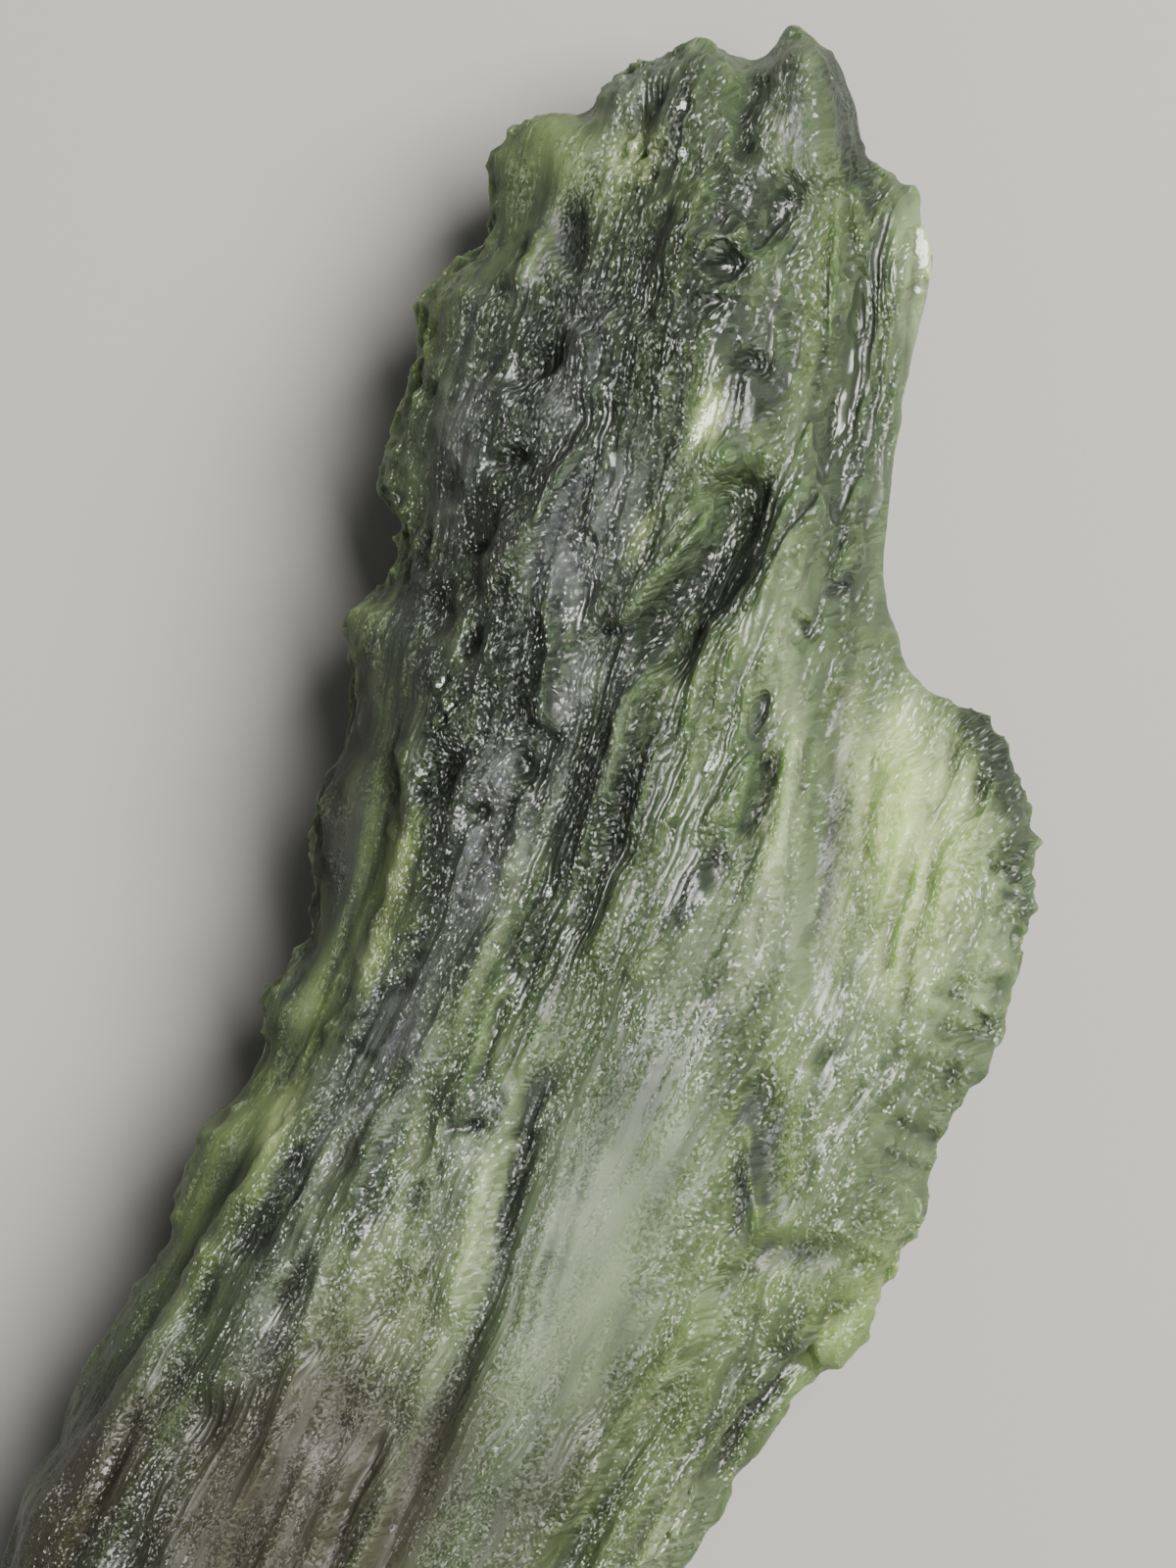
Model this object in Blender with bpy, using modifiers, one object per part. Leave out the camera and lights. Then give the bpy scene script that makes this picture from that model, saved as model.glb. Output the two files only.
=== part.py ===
# Moldavite: a long, flattened piece of green natural glass, etched by the ground it lay in.
# It lies on its back with its length along Y, the narrow end at +Y and its carved face up.
# Flow ribs run along it and lean to the left lower down. Its left half is dug out in deep
# pits, a smooth band runs down its right half, a thin wing stands out to the right, and its
# margins are frayed. Sizes are in millimetres, and the mesh is scaled to metres at the end.

import bmesh
import bpy
import numpy as np
from mathutils import Vector, noise

METRES_PER_MM = 0.001

# Outline seen from above, clockwise from the top of the narrow end.
NARROW_END = [
    (7.6, 25.1), (7.8, 25.1), (8.9, 24.1), (9.6, 22.7), (10.0, 20.4), (10.5, 20.9), (11.2, 20.2),
    (11.4, 19.9), (11.5, 19.2), (11.8, 18.6), (10.9, 14.4), (10.3, 9.4), (10.9, 6.8), (11.4, 6.6),
]
RIGHT_WING = [
    (11.2, 5.9), (12.0, 6.1), (12.4, 5.6), (12.9, 5.6), (13.5, 5.2), (14.1, 4.3), (14.2, 3.2),
    (14.6, 2.6), (14.7, 0.3), (14.6, -0.1), (13.8, -0.6), (14.3, -1.8), (13.4, -4.3), (12.7, -5.4),
]
LOWER_RIGHT_FRAY = [
    (12.1, -5.6), (12.1, -6.4), (11.7, -7.6), (11.8, -8.1), (10.3, -10.7), (10.3, -11.2),
    (9.5, -12.8), (8.4, -13.3), (7.7, -14.0), (7.3, -14.9), (6.5, -15.6), (6.1, -15.7),
    (6.1, -16.5), (4.2, -19.5), (3.9, -20.1), (4.0, -20.6), (2.7, -21.7), (2.4, -22.4),
]
LOWER_END = [
    (1.3, -23.5), (0.0, -24.1), (-0.6, -24.6), (-1.6, -24.8), (-2.4, -24.7), (-4.3, -25.2),
    (-5.2, -24.9), (-5.8, -25.1), (-6.8, -24.9), (-7.7, -25.2), (-8.7, -24.9), (-9.3, -24.3),
    (-10.2, -24.2), (-11.1, -23.7), (-14.0, -20.6), (-14.7, -19.4), (-14.6, -18.8),
]
LEFT_MARGIN = [
    (-13.9, -16.2), (-12.8, -14.9), (-12.7, -14.2), (-11.4, -11.7), (-9.7, -9.2), (-9.5, -7.9),
    (-8.8, -6.0), (-7.7, -5.2), (-6.8, -3.7), (-7.2, -3.2), (-7.2, -2.4), (-6.3, -1.7),
    (-5.9, -1.0), (-5.5, 0.8), (-5.8, 1.4), (-5.7, 2.4), (-5.2, 4.0), (-4.8, 4.6), (-4.6, 5.4),
    (-4.6, 6.8), (-4.9, 8.1), (-4.5, 8.7), (-3.9, 9.0), (-3.6, 8.8), (-3.4, 9.1), (-3.5, 9.4),
    (-3.1, 10.0), (-3.1, 10.8), (-3.3, 11.2), (-3.8, 11.4), (-3.9, 11.9), (-3.2, 14.1),
]
LEFT_SHOULDER = [
    (-2.8, 14.6), (-3.0, 15.3), (-2.7, 15.8), (-2.8, 16.9), (-2.4, 17.6), (-0.8, 18.7),
    (-0.7, 21.3), (0.1, 22.3), (1.2, 22.5), (1.8, 22.2), (2.6, 23.2), (3.6, 23.9), (5.4, 24.5),
    (6.3, 23.9), (6.7, 23.7), (7.3, 24.4),
]
OUTLINE = NARROW_END + RIGHT_WING + LOWER_RIGHT_FRAY + LOWER_END + LEFT_MARGIN + LEFT_SHOULDER

# Thickness. The body swells from a thin margin, steeply on its left and slowly on its right,
# and its carved face leans to the left from a crest right of the middle.
FACE_RISE = 4.9
BACK_RISE = 4.2
MARGIN_HALF_THICKNESS = 0.3
LEFT_SHOULDER_WIDTH = 4.2
RIGHT_SHOULDER_WIDTH = 9.0
ROUNDNESS = 2.0
LEFT_EDGE_STEEPNESS = 0.5
RIGHT_EDGE_STEEPNESS = 0.95
CREST_ACROSS = 4.5
UPPER_LEAN = 0.06
LOWER_LEAN = 0.03
LOWER_LEAN_BELOW_Y = -12.0
UPPER_LEAN_ABOVE_Y = 0.0
SLAB_HALF_THICKNESS = 1.5

# Flow lines: how far they lean to the left, and how much more they lean lower down.
FLOW_SLOPE = 0.37
FLOW_BEND = -0.0067

# From the left to the right side of the body, measured across the flow.
LEFT_TO_RIGHT = (-2.0, 6.0)

# Places where the body is thinner or fuller: x, y, radius, and share of the rise added.
THICKNESS_CHANGES = [
    (12.6, 0.5, 6.0, -0.30),
    (9.5, -12.0, 6.0, -0.28),
    (11.0, 16.0, 4.0, -0.20),
    (0.6, 20.5, 4.0, -0.30),
    (3.0, -8.0, 7.0, 0.12),
    (4.5, 8.0, 7.0, 0.10),
]

# Grooves and ribs of the carved face: points of the route, half-width and rise.
FACE_STROKES = {
    "peak rib": ([(7.6, 24.6), (7.9, 23.3), (8, 21.9), (8, 20.6), (7.9, 19.6)], 0.75, 0.75),
    "crescent of the head": ([(4.3, 22.9), (3.4, 22.4), (2.9, 21.4), (2.4, 20.8)], 0.42, -0.7),
    "notch of the head": ([(6.7, 23.7), (6.4, 22.2), (6.2, 20.3)], 0.42, -0.55),
    "diagonal of the head": ([(7.9, 20.2), (7.1, 18.9), (6.5, 18.1)], 0.42, -0.6),
    "strip beside the edge rib": ([(10.5, 20.1), (10.2, 18.3), (9.9, 16.7), (9.6, 15.1)], 0.4, -0.4),
    "edge rib": ([(10.5, 20.3), (10.5, 17.5), (10.6, 14.7), (10.3, 11.9)], 0.4, 0.5),
    "head rib": ([(5.2, 20.6), (4.9, 19), (4.5, 17.5), (4.2, 16.1)], 0.4, 0.5),
    "brow": ([(4.6, 17.8), (5.3, 18.3), (6, 18.5), (6.6, 18.9)], 0.4, 0.5),
    "shoulder rib": ([(0.7, 19.2), (0.4, 17.9), (-0.1, 16.9)], 0.4, 0.45),
    "upper chunk": ([(1.4, 16.4), (2, 15.1), (1.8, 13.5)], 0.4, 0.45),
    "darkest pit": ([(-1.6, 5), (-2.1, 3.8), (-2.6, 2.6)], 0.5, -0.4),
    "slot beside it": ([(1, 5.4), (0.6, 3.5)], 0.4, -0.4),
    "oblique rib": ([(1.8, 13.3), (1.4, 12.2), (0.5, 10.7), (-0.3, 9.6), (-0.9, 8.5)], 0.4, 0.65),
    "long rib": ([(1.4, 10), (0.8, 8.2), (0.9, 7.1), (0.5, 4.6)], 0.4, 0.6),
    "main twin rib": ([(5.7, 11.6), (4.5, 9.9), (3.5, 8.8), (2.2, 7.4)], 0.4, 0.8),
    "great groove": ([(6.7, 12.8), (6, 11.1), (5, 9.3), (3.7, 8.1), (2.7, 7.4)], 0.7, -0.6),
    "crest beside the great groove": ([(7.7, 12.2), (7.1, 10.3), (6.4, 8.8), (5.6, 7.3),
                                       (4.9, 5.8)], 0.42, 0.6),
    "second crest": ([(8.3, 13.9), (7.8, 10.6), (6.8, 8.6), (6.5, 6.4), (5.7, 4.3)], 0.4, 0.5),
    "bright chip": ([(9.6, 10.5), (8.9, 9.2)], 0.4, 0.4),
    "crossing groove": ([(7.4, 8.1), (8.3, 7.6)], 0.4, -0.45),
    "middle rib": ([(3.2, 6.8), (2.7, 4.4), (2, 2.4), (1.3, 0.6)], 0.4, 0.55),
    "second middle rib": ([(3.9, 5.2), (3.4, 3.2), (2.8, 1.7)], 0.4, 0.45),
    "dark run": ([(3.4, 4.3), (2.8, 2.1), (2.1, 0.3), (1.4, -1.7)], 0.42, -0.4),
    "broad pale rib": ([(-0.1, 0.4), (-0.9, -1.1), (-2, -3.4), (-2.8, -4.7)], 0.5, 0.6),
    "pale rib": ([(3, 1.9), (2.3, -0.6), (1.9, -1.6)], 0.45, 0.45),
    "edge of the scoop": ([(7.1, 4.7), (6.8, 3.3), (5.9, 1.8)], 0.4, -0.4),
    "rib in the scoop": ([(6.7, 4.8), (5.6, 2.9), (5, 2.1)], 0.4, 0.5),
    "band rib": ([(7.8, 6.4), (7.3, 3.6), (6.9, 1.4), (6.4, -0.1)], 0.45, 0.5),
    "band trough": ([(9.1, 6.7), (8.7, 3.6), (8.5, -0.3), (8.3, -3.3)], 0.7, -0.35),
    "inner rib of the wing": ([(10.9, 5.3), (10.7, 2.8), (10.4, 1.1), (9.9, -1.1)], 0.5, 0.45),
    "line of the wing": ([(11.8, 2.5), (10.8, 0), (10.1, -2.1)], 0.4, -0.12),
    "outer rib of the wing": ([(12.9, 3.3), (11.9, 1.1), (11.4, -1.5)], 0.45, 0.5),
    "groove of the wing": ([(12.9, 4.2), (12.6, 2.6), (12, 1.8)], 0.4, -0.15),
    "left trench of the green pit": ([(6, -4.2), (6.1, -6.5), (6.4, -9.9)], 0.5, -0.3),
    "right trench of the green pit": ([(6.8, -3.9), (7.1, -6.4), (7.6, -9.1)], 0.6, -0.4),
    "rib in the green pit": ([(6.2, -5.1), (6.5, -7.5), (6.7, -9.4)], 0.3, 0.35),
    "speckled rib": ([(5.4, -9.9), (4.1, -12.3), (2.5, -14.4), (0.5, -17.9)], 0.5, 0.5),
    "brown groove": ([(4.8, -12.1), (3.2, -14.7), (1.8, -17.2), (0.5, -20)], 0.55, -0.55),
    "hatched band": ([(6.3, -11.1), (4.6, -14.2), (2.9, -16.9), (1.5, -19.9)], 0.6, 0.4),
    "smooth line": ([(8.6, -10.8), (6.5, -13.2), (4.6, -15.9), (2.7, -19.4)], 0.4, 0.5),
    "groove beside the smooth line": ([(8.1, -12.3), (6.2, -14.4), (5.2, -16.1)], 0.42, -0.5),
    "fold": ([(2.3, -2.9), (0.9, -4.3), (0.3, -5.8), (-0.1, -7.5), (-0.6, -10), (-1.6, -12.5),
              (-2.8, -15.3), (-3.9, -18.2), (-4.8, -20.3)], 0.45, -0.5),
    "slope beside the fold": ([(-0.6, -6), (-1.2, -8.6), (-2.2, -11.2)], 0.55, 0.6),
    "left dark run": ([(-5.4, -5.7), (-6.7, -7.9), (-7.7, -9.7)], 0.45, -0.4),
    "olive rib 1": ([(-0.1, -0.9), (-1, -3.6), (-1.8, -5.7)], 0.4, 0.4),
    "olive rib 2": ([(-1.3, -0.6), (-2.6, -3.8), (-4.3, -7.2), (-5.3, -10), (-6.2, -13.1),
                     (-7.3, -16.1), (-8.1, -18.3)], 0.4, 0.4),
    "olive rib 3": ([(-6.4, -9.1), (-7.8, -12.2), (-8.5, -13.4)], 0.45, 0.4),
    "olive rib 4": ([(-9.4, -10.1), (-10.7, -13.1), (-12.1, -16.4), (-12.7, -18.4)], 0.4, 0.35),
    "olive rib 5": ([(-5.2, -13.8), (-6.6, -17.1), (-7.4, -19.1)], 0.4, 0.35),
    "olive rib 6": ([(-4.2, -14.1), (-5.6, -17.4), (-6.4, -19.4)], 0.4, 0.35),
    "olive rib 7": ([(-2.9, -14.6), (-4.3, -17.5), (-5.2, -19.6)], 0.4, 0.35),
}

# Walls: points of the route, which runs to -Y, the side that lies low (-1 is towards -X), the
# drop, and the reach of the low side.
FACE_WALLS = {
    "wall of the great groove": ([(7.5, 12.7), (6.7, 10.4), (5.8, 8.4), (4.9, 6.7), (4.6, 5.8)],
     -1, 0.8, 1.4),
    "left shoulder": ([(-2.4, 8.7), (-3, 5.3), (-3.4, 2.2), (-4.2, 0.1), (-5.1, -2.1),
                       (-6.1, -4.4), (-7.3, -6.7), (-8.6, -8.9), (-9.9, -11.4), (-11.3, -14.5),
                       (-12.5, -17.5)], -1, 0.7, 1.8),
}

# Hollows, and a knob with a negative depth: x, y, half-length, half-width, lean of the long
# axis to the right at its upper end in degrees, and depth.
FACE_HOLLOWS = {
    "dark hollow of the head": (1.5, 18.7, 1.4, 0.67, 0, 0.35),
    "shadowed cheek": (4.3, 20.1, 0.8, 0.5, 5, 0.28),
    "brow pit": (5.8, 17.7, 1.0, 0.47, 88, 0.55),
    "oval pit": (6.4, 15, 0.8, 0.42, 98, 0.5),
    "slanting hollow": (0.8, 15.1, 1.1, 0.47, 35, 0.5),
    "dark pit 1": (0, 12.3, 0.8, 0.47, 80, 0.4),
    "dark pit 2": (-0.8, 10, 0.6, 0.42, 85, 0.3),
    "dark pit 3": (-2.1, 8.4, 1.0, 0.53, 5, 0.35),
    "dark pit 4": (-1.1, 7.4, 0.6, 0.42, 20, 0.33),
    "dark pit 5": (0.3, 4, 0.6, 0.39, 0, 0.44),
    "dark pit 6": (-1, 2.8, 0.6, 0.42, 45, 0.25),
    "hollow by the band": (6.7, 5.6, 0.7, 0.36, 20, 0.28),
    "smoky hollow": (5.4, 1.3, 0.7, 0.5, 20, 0.22),
    "left teeth": (-3.2, -1.5, 1.2, 0.5, 50, 0.33),
    "scallop 1": (-4.8, -6.7, 1.3, 0.58, 28, 0.33),
    "scallop 2": (-5.9, -10.1, 1.3, 0.58, 25, 0.3),
    "scallop 3": (-7.8, -8.5, 1.0, 0.53, 32, 0.28),
    "scallop 4": (-8.7, -10.8, 1.2, 0.5, 28, 0.28),
    "scallop 5": (-8.4, -13.6, 1.4, 0.72, 35, 0.28),
    "scallop 6": (-10.3, -17.5, 1.3, 0.72, 30, 0.28),
    "scallop 7": (-2.6, -6.4, 1.1, 0.53, 25, 0.28),
    "scallop 8": (-3.4, -10, 1.2, 0.67, 30, 0.22),
    "dark slot": (-1.3, -5.7, 0.7, 0.36, 80, 0.33),
    "round knob": (5.5, 12.3, 0.6, 0.56, 0, -0.6),
    "green basin": (7.6, -9.3, 1.4, 0.64, 100, 0.33),
    "lower green basin": (5.9, -10.1, 1.3, 0.56, 45, 0.28),
    "green window": (9, -11.2, 0.8, 0.42, 60, 0.25),
    "pit of the wing": (12.1, -4.7, 0.6, 0.42, 30, 0.28),
}

# Cuts that run in from the thin margins, across the flow.
MARGIN_CUTS = [
    [(16.5, 1.0), (12.4, 1.4)],
    [(16.0, -2.5), (11.2, -2.2)],
    [(15.5, -3.9), (11.0, -3.1)],
    [(14.0, -8.2), (9.8, -5.7)],
    [(13.0, -8.9), (9.6, -6.6)],
    [(10.0, -14.0), (6.4, -12.0)],
]
MARGIN_CUT_HALF_WIDTH = 0.35
MARGIN_CUT_DEPTH = 0.7
CUT_FACING_UP = (-0.2, 0.2)

# Strokes fade and narrow over a share of their length at both ends. They calm the relief
# around them. A groove reaches out to its brink, and a rib's crest is narrower than a bell.
END_TAPER = 0.25
END_WIDTH = 0.4
BRINK_WIDTH = 1.4
CREST_POWER = 1.4
STROKE_CALM = 0.75
WALL_EDGE = (-0.2, 0.3)

# Relief that follows the flow, on both sides: gouges with sharp ribs between them, widths
# across and lengths along the flow. Chunky gouges take over on the upper left.
LUMP_SIZE = 6.0
LUMP_STRETCH = 1.5
LUMP_RISE = 0.6
RIB_GOUGE = (1.5, 8.0)
RIB_GOUGE_DEPTH = 1.3
CHUNKY_GOUGE = (2.2, 3.6)
CHUNKY_GOUGE_DEPTH = 1.5
FACE_GOUGE_SHARE = 0.55
MEAN_BOWL = 0.35
GOUGE_SIZE_IN_HEIGHT = 6.0
FACE_SEED = 0.0
BACK_SEED = 20.0
CHUNKY_SEED_STEP = 7.0
WANDER_SIZE = 4.0
WANDER = 0.15
MARGIN_FADE = (0.1, 1.2)
FACING_UP = (0.1, 0.55)
CHUNKY_ACROSS = (5.0, 1.0)
CHUNKY_ALONG = (-4.0, 4.0)
SMOOTH_ACROSS = (2.5, 5.0)
SMOOTH_ALONG = (14.0, 4.0)
SMOOTH_SHARE = 0.8

# The flat spot that it lies on, under its centre of mass.
REST_CENTRE = (0.5, -2.5)
REST_HALF_LENGTH = 7.5
REST_HALF_WIDTH = 3.2
REST_HUMP = 0.9
REST_CUT = 0.45

# The block of ground that the flat spot is cut by, in metres.
CUTTER_SPAN = 0.1
CUTTER_HEIGHT = 0.01

# Mesh fineness: weld of the slab's caps, voxel sizes, and triangles that are kept.
CAP_WELD = 0.0001
SLAB_VOXEL = 0.25
SURFACE_VOXEL = 0.28
TRIANGLES = 9600

GLASS_COLOUR = (0.075, 0.115, 0.055, 1.0)
GLASS_ROUGHNESS = 0.3


def clear_scene():
    for old in list(bpy.data.objects):
        bpy.data.objects.remove(old, do_unlink=True)


def new_collection(name):
    collection = bpy.data.collections.new(name)
    bpy.context.scene.collection.children.link(collection)
    return collection


def smooth_step(low, high, value):
    share = np.clip((value - low) / (high - low), 0.0, 1.0)
    return share * share * (3.0 - 2.0 * share)


def across_flow(x, y):
    """How far a place is across the flow, whose lines lean further to the left lower down."""
    return x - FLOW_SLOPE * y - FLOW_BEND * y * y


def near_path(x, y, path):
    """Distance in plan to an open path, the share of the path passed at its nearest point, and
    the side of the path: 1 is left of it as it runs, and -1 is right."""
    nearest = np.full(len(x), np.inf)
    share = np.zeros(len(x))
    side = np.zeros(len(x))
    legs = len(path) - 1
    for number, (start, end) in enumerate(zip(path, path[1:])):
        run = np.subtract(end, start)
        along = ((x - start[0]) * run[0] + (y - start[1]) * run[1]) / run.dot(run)
        along = np.clip(along, 0.0, 1.0)
        distance = np.hypot(x - start[0] - along * run[0], y - start[1] - along * run[1])
        closer = distance < nearest
        nearest[closer] = distance[closer]
        share[closer] = ((number + along) / legs)[closer]
        turn = run[0] * (y - start[1]) - run[1] * (x - start[0])
        side[closer] = np.sign(turn)[closer]
    return nearest, share, side


def margin_distance(x, y):
    return near_path(x, y, OUTLINE + OUTLINE[:1])[0]


def read_points(mesh):
    flat = np.empty(len(mesh.vertices) * 3, np.float32)
    mesh.vertices.foreach_get("co", flat)
    return flat.reshape(-1, 3).astype(float)


def write_points(mesh, points):
    mesh.vertices.foreach_set("co", points.astype(np.float32).ravel())
    mesh.update()


def read_normals(mesh):
    flat = np.empty(len(mesh.vertices) * 3, np.float32)
    mesh.vertex_normals.foreach_get("vector", flat)
    return flat.reshape(-1, 3).astype(float)


def apply_modifiers(stone):
    """Replaces the mesh with what its modifiers make of it."""
    graph = bpy.context.evaluated_depsgraph_get()
    made = bpy.data.meshes.new_from_object(stone.evaluated_get(graph))
    stone.modifiers.clear()
    stone.data = made


def remesh(stone, voxel):
    modifier = stone.modifiers.new("Remesh", "REMESH")
    modifier.mode = "VOXEL"
    modifier.voxel_size = voxel
    modifier.use_smooth_shade = True
    apply_modifiers(stone)


def make_slab(collection):
    """A flat slab with the stone's outline, remeshed to even faces."""
    outline = bpy.data.curves.new("Outline", "CURVE")
    outline.dimensions = "2D"
    outline.fill_mode = "BOTH"
    outline.extrude = SLAB_HALF_THICKNESS
    spline = outline.splines.new("POLY")
    spline.points.add(len(OUTLINE) - 1)
    for point, (x, y) in zip(spline.points, OUTLINE):
        point.co = (x, y, 0.0, 1.0)
    spline.use_cyclic_u = True
    guide = bpy.data.objects.new("Outline", outline)
    collection.objects.link(guide)
    graph = bpy.context.evaluated_depsgraph_get()
    mesh = bpy.data.meshes.new_from_object(guide.evaluated_get(graph))
    bpy.data.objects.remove(guide, do_unlink=True)
    shape = bmesh.new()
    shape.from_mesh(mesh)
    bmesh.ops.remove_doubles(shape, verts=shape.verts, dist=CAP_WELD)
    bmesh.ops.recalc_face_normals(shape, faces=shape.faces)
    shape.to_mesh(mesh)
    shape.free()
    stone = bpy.data.objects.new("moldavite", mesh)
    collection.objects.link(stone)
    remesh(stone, SLAB_VOXEL)
    return stone


def swell(stone):
    """Turns the slab into a pillow: a thin margin that rises to the full thickness inside."""
    points = read_points(stone.data)
    x, y, z = points.T
    rightness = smooth_step(*LEFT_TO_RIGHT, across_flow(x, y))
    shoulder = LEFT_SHOULDER_WIDTH + (RIGHT_SHOULDER_WIDTH - LEFT_SHOULDER_WIDTH) * rightness
    steepness = LEFT_EDGE_STEEPNESS + (RIGHT_EDGE_STEEPNESS - LEFT_EDGE_STEEPNESS) * rightness
    outwards = 1.0 - np.clip(margin_distance(x, y) / shoulder, 0.0, 1.0)
    rise = (1.0 - outwards**ROUNDNESS) ** steepness
    share = np.ones(len(x))
    for centre_x, centre_y, radius, change in THICKNESS_CHANGES:
        away = np.hypot(x - centre_x, y - centre_y)
        share += change * np.exp(-((away / radius) ** 2))
    upper = smooth_step(LOWER_LEAN_BELOW_Y, UPPER_LEAN_ABOVE_Y, y)
    slope = LOWER_LEAN + (UPPER_LEAN - LOWER_LEAN) * upper
    lean = slope * np.minimum(across_flow(x, y) - CREST_ACROSS, 0.0)
    side = z / SLAB_HALF_THICKNESS
    full = np.where(side > 0.0, FACE_RISE * share + lean, BACK_RISE * share)
    points[:, 2] = side * (MARGIN_HALF_THICKNESS + (full - MARGIN_HALF_THICKNESS) * rise)
    write_points(stone.data, points)
    remesh(stone, SURFACE_VOXEL)


def end_fade(share):
    return smooth_step(0.0, END_TAPER, share) * smooth_step(0.0, END_TAPER, 1.0 - share)


def stroke_rise(x, y, path, half_width, rise):
    """The rise of a groove with a round floor and sharp brinks, or of a rib."""
    distance, share, _ = near_path(x, y, path)
    ends = end_fade(share)
    if rise < 0.0:
        brink = BRINK_WIDTH * half_width * (END_WIDTH + (1.0 - END_WIDTH) * ends)
        profile = np.clip(1.0 - (distance / brink) ** 2, 0.0, 1.0)
    else:
        profile = np.exp(-((distance / half_width) ** CREST_POWER))
    return rise * ends * profile


def wall_rise(x, y, path, low_side, drop, reach):
    """Ground that drops beside a path and comes back up further out."""
    distance, share, side = near_path(x, y, path)
    towards = distance * side * low_side
    low = smooth_step(*WALL_EDGE, towards) * np.exp(-((towards / reach) ** 2))
    return -drop * end_fade(share) * low


def hollow_rise(x, y, centre_x, centre_y, half_length, half_width, lean, depth):
    """A bowl with a sharp brink, long along an axis that leans to the right from north."""
    axis = (np.sin(np.radians(lean)), np.cos(np.radians(lean)))
    off_x = x - centre_x
    off_y = y - centre_y
    along = (off_x * axis[0] + off_y * axis[1]) / half_length
    across = (off_x * axis[1] - off_y * axis[0]) / half_width
    return -depth * np.clip(1.0 - along**2 - across**2, 0.0, None)


def wandered(points):
    """The places in plan, shifted a little by smooth noise so that nothing runs straight."""
    moved = points[:, :2].copy()
    for number, (x, y, _) in enumerate(points):
        shift = noise.noise_vector(Vector((x, y, 0.0)) / WANDER_SIZE)
        moved[number] += (WANDER * shift[0], WANDER * shift[1])
    return moved[:, 0], moved[:, 1]


def gouges(across, y, z, size, depth, seed):
    """Bowls that meet in sharp ribs, drawn out along the flow."""
    width, length = size
    places = np.column_stack([across / width, y / length, z / GOUGE_SIZE_IN_HEIGHT + seed])
    distance = np.array([noise.voronoi(Vector(place))[0][0] for place in places])
    return depth * (np.clip(distance, 0.0, 1.0) ** 2 - MEAN_BOWL)


def flow_relief(x, y, z, seed, gouge_share):
    """Lumps, and gouges along the flow that turn chunky on the upper left."""
    across = across_flow(x, y)
    places = np.column_stack([across, y / LUMP_STRETCH, np.zeros(len(y))]) / LUMP_SIZE
    places[:, 2] = seed
    lumps = np.array([noise.noise(Vector(place)) for place in places])
    chunky = smooth_step(*CHUNKY_ACROSS, across) * smooth_step(*CHUNKY_ALONG, y)
    smooth = smooth_step(*SMOOTH_ACROSS, across) * smooth_step(*SMOOTH_ALONG, y)
    ribs = gouges(across, y, z, RIB_GOUGE, RIB_GOUGE_DEPTH, seed)
    chunky_seed = seed + CHUNKY_SEED_STEP
    chunks = gouges(across, y, z, CHUNKY_GOUGE, CHUNKY_GOUGE_DEPTH, chunky_seed)
    ribbed = (1.0 - chunky) * (1.0 - SMOOTH_SHARE * smooth)
    return LUMP_RISE * lumps + gouge_share * (ribbed * ribs + chunky * chunks)


def carve(stone):
    """Moves the surface along its normals to make the relief of both sides."""
    mesh = stone.data
    points = read_points(mesh)
    normals = read_normals(mesh)
    z = points[:, 2]
    face = smooth_step(*FACING_UP, normals[:, 2])
    back = smooth_step(*FACING_UP, -normals[:, 2])
    inside = smooth_step(*MARGIN_FADE, margin_distance(points[:, 0], points[:, 1]))
    x, y = wandered(points)

    strokes = np.zeros(len(x))
    for stroke in FACE_STROKES.values():
        strokes += stroke_rise(x, y, *stroke)
    for wall in FACE_WALLS.values():
        strokes += wall_rise(x, y, *wall)
    for hollow in FACE_HOLLOWS.values():
        strokes += hollow_rise(x, y, *hollow)
    calm = 1.0 - STROKE_CALM * np.clip(np.abs(strokes), 0.0, 1.0)
    face_relief = flow_relief(x, y, z, FACE_SEED, FACE_GOUGE_SHARE)
    face_rise = inside * (calm * face_relief + strokes)
    cuts = np.zeros(len(x))
    for path in MARGIN_CUTS:
        cuts += stroke_rise(x, y, path, MARGIN_CUT_HALF_WIDTH, -MARGIN_CUT_DEPTH)

    across = (across_flow(x, y) - across_flow(*REST_CENTRE)) / REST_HALF_WIDTH
    along = (y - REST_CENTRE[1]) / REST_HALF_LENGTH
    near_rest = np.exp(-((across**2 + along**2) ** 2))
    back_rise = inside * (1.0 - near_rest) * flow_relief(x, y, z, BACK_SEED, 1.0)
    back_rise += REST_HUMP * near_rest

    points += normals * (face * face_rise + back * back_rise)[:, None]
    room = np.clip(z / MARGIN_CUT_DEPTH, 0.0, 1.0)
    points[:, 2] += smooth_step(*CUT_FACING_UP, normals[:, 2]) * room * cuts
    write_points(mesh, points)


def thin_out(stone):
    modifier = stone.modifiers.new("Decimate", "DECIMATE")
    stone.data.calc_loop_triangles()
    modifier.ratio = TRIANGLES / len(stone.data.loop_triangles)
    modifier.use_collapse_triangulate = True
    apply_modifiers(stone)


def place(stone):
    """Puts the middle of the outline over the origin and the lowest point one cut below it."""
    points = read_points(stone.data)
    low = points.min(axis=0)
    high = points.max(axis=0)
    middle = (low + high) / 2.0
    points -= (middle[0], middle[1], low[2] + REST_CUT)
    write_points(stone.data, points * METRES_PER_MM)


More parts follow.
